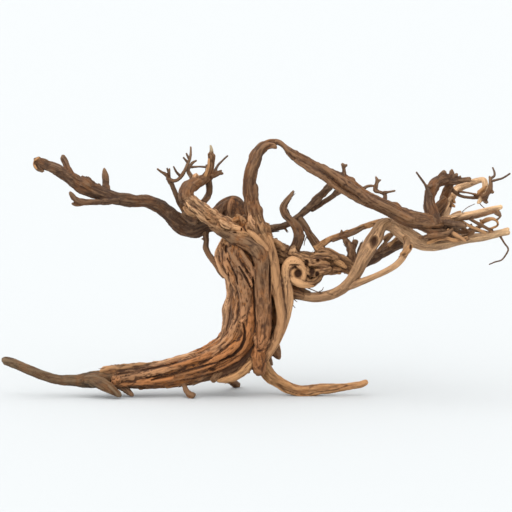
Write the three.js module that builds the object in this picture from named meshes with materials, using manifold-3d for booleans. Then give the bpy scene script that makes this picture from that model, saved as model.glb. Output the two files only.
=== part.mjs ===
// A large dry root of satung wood, grown as one piece: a flow of fused strands that rises from a long
// root on the ground to a crown, with an arch and a tangle of branches on the right and a long branch on
// the left. Millimetres, +Z up, +X to the right, +Y away from the front. It stands on four worn spots.
import * as THREE from "three";
import { mergeVertices } from "three/addons/utils/BufferGeometryUtils.js";
import Module from "manifold-3d";

// Driving values. Every limb below is a run of [x, y, z, radius] points, from where it grows to its tip.
const FLOOR_CUT = 0; // height of the plane that the feet are worn flat at
const BURY_DEPTH = 60; // thickness of the block that wears the feet
const RING_STEP = 4.4; // spacing of a straight limb's rings, in radii
const SHORTEST_RING = 24; // the spacing's limits
const LONGEST_RING = 110;
const RING_TURN = 0.72; // how far a limb bends from one ring to the next, in radians
const FEWEST_RINGS = 2;
const SAMPLES_PER_SPAN = 8;
const SPREAD = 0.9; // how much deeper the limbs spread, front to back, far from the trunk than beside it
const SPREAD_FROM = 90; // distance from the trunk's middle at which that begins, and the length it takes
const SPREAD_OVER = 240;
const SPREAD_FLOOR = 120; // nothing spreads below this height, and all of it does this much higher
const CROWN_HEIGHT = 400;
const DROOP = 0.11; // how far a limb sinks as it spreads forward
const MIDDLE = 3; // moves the whole piece so that its box is centred front to back
const OVAL = 0.1; // how far a section is from round
const LOBE = 0.06;
const TIP_LENGTH = 0.5; // how far a tip's point stands past its last ring, in radii
const WOOD = { color: 0x8a6544, roughness: 0.9, metalness: 0 };

// The heart of the trunk, which bends over into the long root on the ground.
const HEART = [
  [-16, 15, 418, 36], [-18, 15, 396, 46], [-24, 15, 353, 48], [-18, 15, 312, 42], [-14, 15, 265, 42],
  [-16, 15, 215, 46], [-20, 14, 170, 48], [-40, 10, 128, 46], [-78, 4, 96, 40], [-128, -2, 76, 34],
  [-190, -8, 60, 29], [-252, -10, 50, 26], [-315, -12, 45, 24], [-368, -15, 44, 20],
];

// Strands that lie on the heart's front and flow down into the long root.
const STRANDS = {
  edge_strand: [
    [-72, 14, 400, 12], [-80, 8, 381, 12], [-92, 5, 353, 12], [-84, 3, 323, 12], [-65, 2, 290, 12],
    [-63, 0, 255, 12], [-72, 0, 217, 12], [-72, 0, 179, 13], [-82, -3, 140, 14], [-122, -6, 106, 14],
    [-165, -8, 95, 15], [-215, -10, 81, 15], [-265, -12, 73, 14], [-315, -14, 68, 14],
    [-360, -16, 66, 13], [-385, -16, 65, 11],
  ],
  left_strand: [
    [-58, -22, 390, 14], [-64, -26, 360, 15], [-62, -28, 335, 16], [-50, -28, 306, 16],
    [-40, -28, 271, 16], [-38, -30, 226, 17], [-45, -30, 183, 17], [-65, -30, 145, 16],
    [-100, -28, 117, 15], [-145, -26, 93, 15], [-202, -26, 76, 15], [-265, -27, 61, 14],
    [-320, -28, 52, 13], [-350, -30, 50, 12],
  ],
  middle_strand: [
    [-30, -30, 400, 14], [-32, -34, 373, 14], [-22, -36, 335, 15], [-12, -36, 297, 14],
    [-10, -36, 247, 14], [-12, -37, 201, 15], [-18, -37, 163, 15], [-38, -36, 130, 15],
    [-72, -34, 104, 15], [-120, -31, 80, 15], [-170, -29, 59, 14], [-228, -27, 43, 13],
    [-282, -26, 32, 12],
  ],
  broken_strand: [
    [0, -30, 392, 16], [4, -38, 355, 17], [10, -42, 310, 18], [16, -43, 260, 19], [19, -44, 205, 19],
    [18, -44, 165, 18], [15, -44, 143, 16],
  ],
  hanging_stub: [[20, -22, 175, 15], [15, -28, 128, 17], [8, -34, 97, 17], [5, -38, 70, 15], [7, -40, 52, 9]],
  pale_strand: [
    [14, -34, 402, 13], [22, -42, 380, 13], [31, -46, 352, 13], [40, -48, 320, 12], [47, -50, 286, 12],
    [54, -50, 248, 13], [57, -48, 210, 14], [52, -45, 172, 15], [41, -41, 138, 14], [29, -38, 112, 12],
    [19, -38, 88, 9],
  ],
  curl_strand: [
    [34, -24, 118, 10], [45, -26, 138, 13], [58, -28, 167, 14], [71, -30, 205, 15], [79, -32, 246, 15],
    [78, -34, 281, 14], [72, -36, 312, 13], [79, -38, 338, 12], [96, -38, 349, 12.5], [112, -36, 333, 12],
    [121, -30, 307, 12], [139, -20, 287, 13], [166, -10, 294, 12], [195, -5, 311, 12],
  ],
  right_flank: [
    [30, 4, 388, 24], [46, 8, 340, 22], [54, 10, 285, 21], [56, 10, 230, 21], [50, 10, 180, 20],
    [36, 10, 140, 19], [24, 12, 104, 15],
  ],
};

// Strands on the heart's back, each at its own angle round the heart: start and end are shares of the
// heart's length, and swing is how far the strand wanders round it, in radians.
const BACK_STRANDS = [
  { angle: 0.45, radius: 16, start: 0.04, end: 0.66, swing: 0.3 },
  { angle: 1.15, radius: 18, start: 0.03, end: 0.96, swing: -0.25 },
  { angle: 1.85, radius: 18, start: 0.03, end: 0.9, swing: 0.25 },
  { angle: 2.55, radius: 16, start: 0.05, end: 0.6, swing: -0.25 },
];
const BACK_STRAND_POINTS = 13;
const BACK_STRAND_SINK = 3; // how far a back strand's centre lies inside the heart's surface

const ROOTS = {
  tail_root: [
    [-350, -14, 44, 22], [-392, -15, 43, 21], [-425, -17, 42, 20], [-452, -20, 41, 15], [-490, -25, 44, 12],
    [-515, -28, 49, 12], [-540, -30, 58, 12], [-565, -32, 69, 12], [-590, -33, 80, 11.5],
    [-615, -35, 90, 11], [-634, -35, 95, 10],
  ],
  heel_lobe: [[-412, -32, 45, 15], [-388, -46, 42, 18], [-364, -56, 34, 17], [-347, -60, 18, 14], [-336, -60, 5, 11.5]],
  heel_toe: [[-354, -22, 36, 12], [-334, -26, 22, 11], [-320, -30, 10, 10], [-311, -32, 7, 7]],
  peg_foot: [[-185, -15, 46, 9], [-178, -30, 29, 9], [-169, -42, 17, 8.5], [-160, -52, 6, 9.5], [-155, -55, 3, 8]],
  rear_foot: [[-104, 15, 60, 13], [-88, 52, 42, 10], [-68, 92, 23, 8.5], [-52, 122, 8, 9.5], [-46, 134, 3, 8]],
  right_root: [
    [0, 12, 128, 22], [12, 8, 86, 19], [33, 2, 52, 16], [60, -4, 31, 14], [90, -6, 17, 14.5],
    [125, -6, 11, 15], [160, -6, 15, 12.5], [198, -8, 19, 10.5], [235, -12, 24, 9], [263, -17, 30, 8],
    [280, -20, 37, 6.5],
  ],
  back_shard: [[30, 25, 150, 16], [43, 38, 124, 14], [52, 46, 100, 12], [57, 50, 88, 8]],
  back_peg: [[16, 25, 108, 13], [30, 38, 86, 11], [36, 44, 74, 8]],
  belly_shard: [[-90, -20, 66, 10], [-106, -34, 47, 8], [-112, -38, 37, 5]],
  belly_splinter: [[-58, -28, 78, 9], [-74, -36, 57, 7], [-84, -38, 46, 4]],
  back_splinter: [[-46, 12, 74, 9], [-27, 33, 59, 5.5], [-16, 41, 50, 3.5]],
  side_root: [
    [-128, 44, 410, 9], [-125, 36, 388, 7], [-126, 30, 371, 7], [-118, 24, 353, 7], [-105, 16, 336, 7],
    [-92, 10, 318, 7], [-78, 8, 296, 6],
  ],
};

const CROWN = {
  crown: [[-78, 22, 390, 26], [-44, 18, 400, 36], [-4, 6, 398, 40], [28, 4, 382, 34]],
  hump: [[-104, 54, 424, 16], [-92, 58, 446, 20], [-76, 58, 458, 26], [-58, 54, 462, 31], [-44, 44, 450, 28], [-34, 28, 424, 28]],
  crown_knob: [[-30, 2, 425, 18], [-30, -2, 443, 14], [-26, -2, 453, 9]],
  burl: [
    [6, 6, 380, 38], [36, 8, 368, 32], [62, 8, 356, 29], [88, 7, 345, 28], [114, 5, 337, 28], [140, 2, 331, 27],
    [165, 0, 330, 25], [190, 0, 333, 24], [215, -3, 330, 22], [238, -8, 322, 19], [250, -14, 314, 13],
  ],
  curl_core: [[78, -6, 306, 20], [98, -20, 316, 19]],
  finger_knob: [[90, -16, 358, 11], [94, -26, 369, 10], [96, -28, 376, 7]],
};

const ARCH = {
  arch: [
    [12, -18, 386, 26], [3, -27, 432, 22], [-7, -26, 470, 20], [-12, -20, 504, 17], [-14, -12, 538, 16],
    [-10, -5, 570, 17], [0, 0, 599, 16.5], [15, 4, 624, 14], [34, 8, 636, 10], [54, 8, 638, 6.5],
    [70, 6, 629, 6.5], [86, 3, 613, 10], [110, -3, 596, 13.5], [140, -9, 578, 15], [172, -16, 561, 16.5],
    [210, -24, 543, 18], [242, -30, 520, 19.5], [273, -36, 500, 19], [310, -42, 484, 18],
    [342, -44, 469, 18.5], [375, -44, 452, 19], [410, -40, 446, 19], [448, -34, 441, 18],
    [476, -28, 442, 13], [497, -25, 443, 8],
  ],
  arch_splinter: [[12, 0, 615, 9], [30, -1, 629, 9], [43, -3, 629, 7], [51, -4, 624, 4.5]],
  arch_spur: [[218, -24, 552, 7], [218, -22, 572, 4.5], [216, -21, 582, 5], [213, -20, 588, 3.5]],
  arch_flap: [[328, -36, 480, 10], [346, -38, 484, 8], [362, -40, 474, 4]],
  perch: [[318, -34, 492, 7], [320, -30, 510, 4.5], [308, -28, 516, 4.5], [296, -27, 520, 5], [298, -26, 532, 5], [300, -25, 545, 4.5], [296, -24, 556, 2.5]],
  perch_side: [[300, -25, 541, 4], [311, -24, 547, 2.5]],
  perch_arm: [[318, -30, 514, 5], [330, -32, 517, 3], [346, -35, 520, 2.8]],
  perch_tail: [[262, -24, 522, 6], [276, -24, 530, 4], [292, -25, 531, 3.5]],
};

const FRONT_BRANCHES = {
  finger: [
    [88, -8, 362, 12], [99, -17, 391, 11], [104, -25, 418, 10], [91, -30, 446, 9.5], [77, -32, 468, 9],
    [75, -30, 487, 8.5], [84, -26, 503, 6.5], [94, -22, 514, 4.5], [100, -20, 520, 2.5],
  ],
  diagonal: [
    [14, 2, 414, 14], [46, 18, 421, 9], [75, 32, 426, 8], [102, 40, 445, 8.5], [130, 44, 467, 9],
    [152, 42, 488, 10], [172, 32, 511, 8.5], [192, 8, 534, 9],
  ],
  diagonal_fork: [[138, 45, 467, 9], [162, 50, 478, 7.5], [188, 40, 495, 7], [214, 4, 522, 9]],
  diagonal_thorn: [[70, 28, 423, 3.5], [79, 24, 408, 2]],
  y_limb: [[168, -2, 350, 15], [151, 7, 381, 11], [133, 19, 408, 9], [119, 31, 431, 8], [107, 39, 446, 8]],
  upper_limb: [
    [148, 0, 368, 12], [180, 5, 391, 9], [212, 8, 405, 8.5], [248, 5, 417, 8.5], [280, -4, 432, 8.5],
    [308, -16, 441, 9], [332, -26, 444, 10],
  ],
  wedge: [[166, -6, 376, 10], [192, -12, 366, 9.5], [218, -14, 352, 8.5], [240, -14, 336, 8]],
  stump: [[234, -6, 334, 13], [240, -4, 362, 11], [240, 0, 380, 11], [238, 2, 392, 13]],
  burl_spur: [[242, 2, 330, 9], [256, 12, 352, 5.5], [262, 19, 371, 5.5], [266, 23, 384, 4.5]],
  lower_limb: [
    [62, -2, 264, 13], [88, -6, 258, 12], [112, -10, 254, 11.5], [141, -16, 251, 12], [172, -24, 255, 12.5],
    [202, -32, 267, 13], [230, -40, 289, 14], [250, -45, 319, 15], [264, -46, 348, 15], [278, -42, 379, 16],
    [292, -36, 406, 17], [308, -28, 430, 15], [330, -24, 440, 14],
  ],
  lower_fork: [
    [236, -42, 284, 12], [265, -50, 297, 9], [295, -58, 311, 9], [325, -62, 326, 9], [350, -62, 343, 9],
    [368, -54, 366, 9], [374, -40, 390, 9], [370, -28, 404, 9],
  ],
  lower_fork_stub: [[362, -56, 364, 7.5], [376, -64, 378, 8], [384, -67, 390, 7]],
  back_limb: [
    [222, 0, 322, 15], [262, 17, 329, 13], [295, 24, 345, 14], [328, 22, 364, 14], [358, 10, 381, 13],
    [388, -8, 394, 13],
  ],
  tie_a: [[306, -6, 366, 5], [325, -12, 391, 4.5], [344, -18, 414, 5]],
};

const RIGHT_BRANCHES = {
  right_limb: [
    [310, -24, 434, 13], [335, -22, 433, 16], [360, -22, 415, 18.5], [385, -21, 397, 18.5], [412, -19, 386, 17],
    [442, -15, 384, 16.5], [472, -9, 387, 16], [502, -3, 392, 13.5], [535, 2, 397, 11.5], [568, 4, 400, 10.5],
    [598, 3, 406, 9.5], [620, 0, 412, 9], [633, -1, 412, 7],
  ],
  hook: [
    [446, -34, 434, 21], [437, -31, 460, 17], [431, -27, 486, 14.5], [432, -20, 510, 12.5],
    [442, -12, 530, 12], [460, -4, 542, 12], [478, 0, 543, 12], [495, -4, 541, 9], [515, -10, 543, 6.5],
    [534, -15, 546, 6],
  ],
  hook_stub_a: [[466, -2, 550, 8], [469, -1, 562, 6.5], [471, 0, 568, 4]],
  hook_stub_b: [[487, 0, 547, 9], [489, 3, 561, 6], [488, 5, 570, 4]],
  hook_stub_c: [[507, -7, 545, 5], [508, -8, 556, 3]],
  whip: [
    [476, 2, 538, 9], [490, 10, 518, 6.5], [508, 14, 504, 5.5], [530, 12, 499, 5], [555, 4, 500, 5],
    [572, -4, 504, 5.5], [582, -8, 518, 6], [584, -8, 538, 5], [582, -5, 554, 4],
  ],
  whip_fork_a: [[583, -6, 547, 3.8], [594, 0, 554, 3.2], [595, 5, 562, 2.8], [591, 10, 574, 2.2]],
  whip_fork_b: [[584, -8, 541, 3.8], [598, -14, 545, 3], [612, -20, 550, 2.6], [629, -28, 562, 2.2]],
  whip_knot: [[580, -6, 520, 6], [591, -10, 512, 4.5]],
  cross_twig: [[506, 13, 514, 4.5], [528, 9, 511, 4], [548, 5, 507, 4], [566, -2, 504, 4]],
  pale_loop: [
    [470, 0, 444, 12], [481, 18, 466, 10], [490, 34, 488, 8.5], [502, 44, 506, 8], [520, 47, 520, 8],
    [540, 42, 530, 8], [556, 31, 538, 8], [570, 20, 539, 7.5], [572, 11, 522, 7.5], [568, 4, 506, 8.5],
    [560, 0, 494, 6], [552, -2, 484, 3.5],
  ],
  back_stub: [[456, 0, 452, 13], [467, 14, 484, 9.5], [472, 22, 503, 9], [468, 28, 517, 6]],
  long_twig: [[433, -26, 504, 6], [424, -34, 521, 4], [418, -38, 535, 3.2], [406, -44, 552, 2.8], [395, -50, 567, 2.2]],
  long_twig_tie: [[438, -16, 530, 4], [428, -29, 530, 3], [419, -38, 534, 3]],
  shard_a: [[484, 20, 484, 7], [492, 18, 479, 4.5], [499, 16, 474, 3]],
  shard_b: [[488, 26, 500, 7], [496, 24, 488, 4], [500, 22, 482, 2.5]],
  straight_limb: [
    [462, -16, 442, 12], [498, -24, 453, 9.5], [530, -36, 461, 8.5], [560, -48, 469, 8], [585, -56, 476, 7.5],
    [604, -61, 482, 6.5],
  ],
  straight_shard: [[588, -56, 473, 5], [598, -58, 465, 4], [602, -58, 459, 2.5]],
  dark_stub: [[462, -40, 441, 15], [492, -58, 444, 10.5], [511, -69, 443, 8], [519, -73, 443, 5.5]],
  net_a: [[474, -8, 432, 10], [490, 4, 414, 7.5], [508, 6, 398, 7]],
  net_b: [[462, -4, 420, 11], [497, 14, 413, 6.5], [525, 19, 411, 5.5], [553, 20, 419, 5], [567, 21, 431, 4], [562, 23, 442, 3]],
  net_spur: [[532, 19, 412, 4.5], [541, 21, 424, 3.8], [539, 21, 431, 2.6]],
  net_c: [[520, -26, 455, 5], [540, -14, 443, 4], [562, -4, 431, 3.8], [580, 2, 421, 3.8], [594, 4, 411, 4.5]],
  ring_twig: [[560, 10, 430, 4], [568, 12, 437, 5], [579, 6, 443, 5.5], [591, 2, 446, 4], [602, 2, 440, 3], [604, 3, 430, 2.8], [590, 4, 422, 3], [578, 3, 419, 3.5]],
  ring_tip: [[600, 2, 442, 3], [610, 0, 451, 2]],
  hair_twig: [
    [608, 1, 406, 3.2], [619, -5, 387, 2.3], [629, -10, 371, 2.3], [622, -14, 357, 2.2], [612, -16, 345, 2],
    [595, -18, 340, 1.9], [580, -20, 334, 1.6],
  ],
  eye_knot: [[436, -8, 398, 12], [450, -18, 405, 12], [462, -22, 408, 8]],
};

const LEFT_BRANCHES = {
  left_limb: [
    [-66, 30, 398, 26], [-110, 44, 403, 25], [-145, 48, 409, 25], [-175, 46, 419, 24], [-200, 38, 439, 22],
    [-225, 28, 462, 19], [-250, 18, 481, 16], [-275, 10, 489, 14.5], [-302, 4, 490, 15],
    [-328, -2, 495, 16.5], [-355, -6, 499, 15], [-380, -9, 508, 16], [-403, -12, 518, 18],
    [-425, -16, 529, 18.5], [-445, -19, 540, 17], [-465, -22, 554, 15], [-484, -25, 566, 13.5],
    [-502, -28, 576, 12.5], [-518, -30, 580, 11.5], [-533, -33, 588, 12.5], [-544, -35, 597, 12],
    [-549, -36, 601, 8],
  ],
  left_fork: [
    [-350, -10, 496, 12], [-382, -20, 492, 8.5], [-408, -28, 492, 8], [-432, -35, 493, 8], [-448, -40, 501, 7],
    [-456, -43, 512, 5], [-460, -45, 519, 2.5],
  ],
  left_spur_a: [[-466, -20, 562, 9], [-475, -16, 583, 6.5], [-481, -12, 597, 5.5], [-486, -9, 607, 4]],
  left_knob: [[-416, -14, 532, 14], [-425, -12, 550, 10.5], [-431, -10, 561, 6.5]],
  left_knob_side: [[-414, -13, 538, 11], [-415, -12, 552, 8], [-416, -12, 560, 5.5]],
  left_spur_b: [[-375, -6, 512, 12], [-375, 0, 534, 8.5], [-376, 3, 554, 7.5], [-378, 4, 567, 5], [-379, 4, 574, 2.5]],
  stalk: [
    [-150, 46, 418, 11], [-174, 39, 455, 8.5], [-190, 30, 481, 7.5], [-201, 22, 506, 6.5], [-211, 14, 530, 6],
    [-219, 8, 548, 6.5],
  ],
  stalk_left: [[-218, 8, 545, 6], [-225, 3, 557, 4.5], [-235, -3, 564, 3.5], [-246, -10, 573, 2.5]],
  stalk_prong_a: [[-218, 7, 548, 5.5], [-217, 5, 562, 4], [-215, 5, 573, 2.5]],
  stalk_prong_b: [[-217, 5, 560, 3.5], [-222, 4, 573, 2.2]],
  stalk_right: [
    [-218, 6, 546, 6], [-206, 2, 542, 5.5], [-195, -2, 545, 5.5], [-184, -2, 557, 5], [-175, 0, 573, 4.5],
    [-168, 4, 588, 4.5], [-164, 8, 600, 3.5], [-163, 11, 614, 3], [-163, 13, 628, 2.3],
  ],
  stalk_thorn_a: [[-171, 3, 588, 3.5], [-181, -1, 600, 2.2]],
  stalk_thorn_b: [[-167, 6, 596, 3.5], [-174, 8, 610, 2.2]],
  stalk_thorn_c: [[-188, -2, 553, 4], [-198, -6, 564, 3], [-205, -10, 578, 2]],
  cross_stalk: [[-150, -12, 533, 8], [-161, 0, 553, 6], [-169, 6, 568, 4.8], [-160, 12, 584, 3.8], [-147, 16, 592, 2.3]],
  cross_bar: [[-164, 8, 575, 3.5], [-142, 10, 576, 2.4], [-121, 7, 575, 3]],
  elbow: [
    [-16, 2, 402, 26], [-48, -16, 416, 22], [-78, -32, 434, 21], [-105, -42, 451, 20.5],
    [-132, -48, 470, 20.5], [-157, -48, 491, 19.5], [-171, -42, 508, 18], [-168, -31, 526, 17],
    [-152, -20, 537, 16.5], [-135, -10, 546, 14], [-122, -4, 559, 11.5], [-115, 0, 575, 10],
    [-111, 2, 592, 8.5], [-112, 2, 607, 7.5], [-114, 2, 619, 4.5], [-115, 2, 626, 2.5],
  ],
  elbow_loop: [[-120, 0, 548, 9], [-116, 9, 520, 8.5], [-120, 8, 501, 8.5], [-134, -10, 486, 8], [-150, -36, 482, 9]],
  elbow_knob: [[-148, -15, 546, 9], [-147, -14, 558, 7.5], [-147, -14, 565, 4.5]],
  elbow_stub: [[-116, -1, 552, 11], [-101, 8, 558, 8.5], [-89, 14, 559, 5], [-81, 18, 557, 3]],
  elbow_stub_side: [[-96, 10, 560, 5.5], [-85, 14, 567, 2.6]],
  elbow_twig: [[-104, 8, 562, 4.5], [-95, 14, 579, 3], [-82, 20, 592, 2.6], [-71, 26, 602, 2.2]],
  elbow_nub: [[-118, -1, 562, 8], [-122, 4, 577, 5], [-124, 6, 582, 3]],
};

// Knot holes: where, how wide each way, and as [x, y, z, half width x, half depth y, half height z].
const KNOT_HOLES = [
  [290, -56, 402, 5, 12, 9],
  [106, -42, 314, 7, 12, 6],
  [138, -24, 312, 6, 8, 5],
  [452, -31, 405, 6, 8, 4],
];
const HOLE_SIDES = 8;

const wasm = await Module();
wasm.setup();

// Where a limb's point ends up once the limbs have spread.
function placed([x, y, z, ...sizes]) {
  const reach = Math.hypot(x, Math.max(0, z - CROWN_HEIGHT));
  const away =
    THREE.MathUtils.smoothstep(reach, SPREAD_FROM, SPREAD_FROM + SPREAD_OVER) *
    THREE.MathUtils.smoothstep(z, SPREAD_FLOOR, 2 * SPREAD_FLOOR);
  const deeper = SPREAD * away * y;
  return [x, y + deeper + MIDDLE, z - DROOP * deeper, ...sizes];
}

// The number of sides that a section of this radius needs.
function sidesFor(radius) {
  if (radius < 4.5) return 3;
  if (radius < 10) return 4;
  if (radius < 17.5) return 5;
  return radius < 28 ? 7 : 10;
}

// The radius and centre at a share t of a limb's length, smooth through its points.
function limbAt(path) {
  const centres = new THREE.CatmullRomCurve3(path.map(([x, y, z]) => new THREE.Vector3(x, y, z)), false, "centripetal");
  const spans = path.length - 1;
  return (t) => {
    const at = Math.min(t * spans, spans - 1e-6);
    const i = Math.floor(at);
    const radius = THREE.MathUtils.lerp(path[i][3], path[i + 1][3], at - i);
    return { centre: centres.getPoint(t), tangent: centres.getTangent(t), radius };
  };
}

// The shares of a limb's length at which it has a ring: closer together where it is thin or bends.
function ringShares(at, spans) {
  const samples = spans * SAMPLES_PER_SPAN;
  const marks = [0];
  for (let i = 1; i <= samples; i++) {
    const [a, b] = [at((i - 1) / samples), at(i / samples)];
    const step = THREE.MathUtils.clamp(RING_STEP * b.radius, SHORTEST_RING, LONGEST_RING);
    marks.push(marks[i - 1] + a.centre.distanceTo(b.centre) / step + a.tangent.angleTo(b.tangent) / RING_TURN);
  }
  const rings = Math.max(FEWEST_RINGS, Math.round(marks[samples]));
  const shares = [0];
  for (let k = 1; k < rings; k++) {
    const wanted = (marks[samples] * k) / rings;
    const i = marks.findIndex((mark) => mark >= wanted);
    const between = (wanted - marks[i - 1]) / (marks[i] - marks[i - 1]);
    shares.push((i - 1 + between) / samples);
  }
  return [...shares, 1];
}

// A closed tube through a limb's points, a little out of round, with a blunt point at its tip.
function limbGeometry(path) {
  const at = limbAt(path);
  const shares = ringShares(at, path.length - 1);
  const sides = sidesFor(Math.max(...path.map((p) => p[3])));
  const fullness = Math.sqrt((2 * Math.PI) / sides / Math.sin((2 * Math.PI) / sides));
  const phase = path[0][0] * 0.37 + path[0][2] * 0.11;
  const vertices = [];
  const faces = [];
  let normal = null;
  shares.forEach((t, ring) => {
    const { centre, tangent, radius } = at(t);
    if (!normal) normal = new THREE.Vector3(0.13, 0.98, 0.11);
    normal.addScaledVector(tangent, -normal.dot(tangent)).normalize();
    const across = new THREE.Vector3().crossVectors(tangent, normal);
    for (let k = 0; k < sides; k++) {
      const angle = (2 * Math.PI * k) / sides;
      const bulge = 1 + OVAL * Math.sin(2 * angle + phase + 0.5 * ring) + LOBE * Math.sin(3 * angle + 2 * phase);
      const reach = radius * fullness * bulge;
      const rim = centre
        .clone()
        .addScaledVector(normal, reach * Math.cos(angle))
        .addScaledVector(across, reach * Math.sin(angle));
      vertices.push(rim.x, rim.y, rim.z);
      if (ring === 0) continue;
      const [a, b] = [(ring - 1) * sides + k, (ring - 1) * sides + ((k + 1) % sides)];
      faces.push(a, b, b + sides, a, b + sides, a + sides);
    }
  });
  const start = at(0).centre;
  const end = at(1);
  const tip = end.centre.clone().addScaledVector(end.tangent, TIP_LENGTH * end.radius);
  const [startPole, tipPole] = [vertices.length / 3, vertices.length / 3 + 1];
  vertices.push(start.x, start.y, start.z, tip.x, tip.y, tip.z);
  const last = (shares.length - 1) * sides;
  for (let k = 0; k < sides; k++) {
    const next = (k + 1) % sides;
    faces.push(startPole, next, k, tipPole, last + k, last + next);
  }
  return new THREE.BufferGeometry()
    .setAttribute("position", new THREE.BufferAttribute(new Float32Array(vertices), 3))
    .setIndex(faces);
}

// A back strand's points: it follows the heart at its own angle, measured from +X round to +Y.
function backStrandPath({ angle, radius, start, end, swing }) {
  const at = limbAt(HEART);
  const path = [];
  for (let k = 0; k < BACK_STRAND_POINTS; k++) {
    const share = k / (BACK_STRAND_POINTS - 1);
    const { centre, tangent, radius: heartRadius } = at(THREE.MathUtils.lerp(start, end, share));
    const back = new THREE.Vector3(0, 1, 0);
    back.addScaledVector(tangent, -back.dot(tangent)).normalize();
    const side = new THREE.Vector3().crossVectors(back, tangent);
    const turn = angle + swing * Math.sin(Math.PI * (1.6 * share + 0.2));
    const reach = heartRadius - BACK_STRAND_SINK;
    const point = centre
      .addScaledVector(side, -reach * Math.cos(turn))
      .addScaledVector(back, reach * Math.sin(turn));
    path.push([point.x, point.y, point.z, radius * (1 - 0.35 * share)]);
  }
  return path;
}

// A closed three.js geometry as a manifold-3d solid.
function solidOf(geometry) {
  const bare = geometry.clone();
  bare.deleteAttribute("normal");
  bare.deleteAttribute("uv");
  const merged = mergeVertices(bare, 1e-4);
  return new wasm.Manifold(
    new wasm.Mesh({
      numProp: 3,
      vertProperties: merged.attributes.position.array,
      triVerts: new Uint32Array(merged.index.array),
    }),
  );
}

function holeSolid([x, y, z, width, depth, height]) {
  const hole = new THREE.SphereGeometry(1, HOLE_SIDES, HOLE_SIDES / 2);
  return solidOf(hole.scale(width, depth, height).translate(x, y, z));
}

// The block that wears every foot flat at the floor.
function floorBlock() {
  const block = new THREE.BoxGeometry(2000, 2000, BURY_DEPTH);
  return solidOf(block.translate(0, 0, FLOOR_CUT - BURY_DEPTH / 2));
}

// Only the outer skin of a solid, so that hollows sealed between fused strands are filled.
function outerSkin(solid) {
  return solid.decompose().reduce((best, body) => (body.volume() > best.volume() ? body : best));
}

function geometryOf(solid) {
  const mesh = solid.getMesh();
  const positions = new Float32Array(mesh.numVert * 3);
  for (let i = 0; i < mesh.numVert; i++) {
    positions.set(mesh.vertProperties.subarray(i * mesh.numProp, i * mesh.numProp + 3), i * 3);
  }
  const geometry = new THREE.BufferGeometry()
    .setAttribute("position", new THREE.BufferAttribute(positions, 3))
    .setIndex(new THREE.BufferAttribute(mesh.triVerts, 1));
  geometry.computeVertexNormals();
  return geometry;
}

const limbs = [STRANDS, ROOTS, CROWN, ARCH, FRONT_BRANCHES, RIGHT_BRANCHES, LEFT_BRANCHES].flatMap(Object.values);
const paths = [HEART, ...BACK_STRANDS.map(backStrandPath), ...limbs].map((path) => path.map(placed));
let grown = paths.map((path) => solidOf(limbGeometry(path))).reduce((whole, limb) => whole.add(limb));
grown = outerSkin(grown);
for (const hole of KNOT_HOLES) grown = grown.subtract(holeSolid(placed(hole)));
grown = outerSkin(grown.subtract(floorBlock()));

const wood = new THREE.Mesh(geometryOf(grown), new THREE.MeshStandardMaterial(WOOD));
wood.name = "satung_wood";

const part = new THREE.Group();
part.add(wood);

export default part;
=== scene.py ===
"""A large dry root of satung wood on a pale floor: fused strands, peeled limbs and bark, in metres.

The limbs are runs of points in millimetres, swept into fluted tubes, fused, and worn along their grain.
"""

import math
from collections import namedtuple

import bpy
import numpy as np
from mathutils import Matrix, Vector


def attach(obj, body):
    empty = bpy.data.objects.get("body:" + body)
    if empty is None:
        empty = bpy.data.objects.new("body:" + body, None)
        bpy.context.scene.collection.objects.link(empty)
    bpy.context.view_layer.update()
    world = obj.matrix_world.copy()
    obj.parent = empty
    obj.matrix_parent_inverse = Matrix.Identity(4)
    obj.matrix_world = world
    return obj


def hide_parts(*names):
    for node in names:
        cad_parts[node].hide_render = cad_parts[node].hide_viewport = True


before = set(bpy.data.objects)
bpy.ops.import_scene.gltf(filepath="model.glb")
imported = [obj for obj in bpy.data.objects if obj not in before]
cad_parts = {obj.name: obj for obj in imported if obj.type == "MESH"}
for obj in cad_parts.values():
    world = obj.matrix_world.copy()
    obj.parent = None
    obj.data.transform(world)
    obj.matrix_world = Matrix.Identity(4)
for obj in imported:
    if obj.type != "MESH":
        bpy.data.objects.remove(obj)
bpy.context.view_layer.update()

MM = 0.001
WOOD_NODE = "satung_wood"

# The camera stands well back and a little above the wood, level with its middle.
VIEW_WIDTH = 1.28
CAMERA_DISTANCE = 8.0
CAMERA_RISE = math.radians(7)
CAMERA_AIM = Vector((0, 0.003, 0.3526))
SENSOR_WIDTH = 36
SIGHT_LIMIT = 200


def in_scene(name, data):
    """A new object in the scene for a mesh, curve, light or camera."""
    thing = bpy.data.objects.new(name, data)
    bpy.context.scene.collection.objects.link(thing)
    return thing


def make_camera():
    data = bpy.data.cameras.new("studio_camera")
    data.sensor_width = SENSOR_WIDTH
    data.lens = SENSOR_WIDTH * CAMERA_DISTANCE / VIEW_WIDTH
    data.clip_end = SIGHT_LIMIT
    camera = in_scene("studio_camera", data)
    away = Vector((0, -math.cos(CAMERA_RISE), math.sin(CAMERA_RISE)))
    camera.location = CAMERA_AIM + CAMERA_DISTANCE * away
    camera.rotation_euler = (math.pi / 2 - CAMERA_RISE, 0, 0)
    bpy.context.scene.camera = camera


make_camera()

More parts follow.
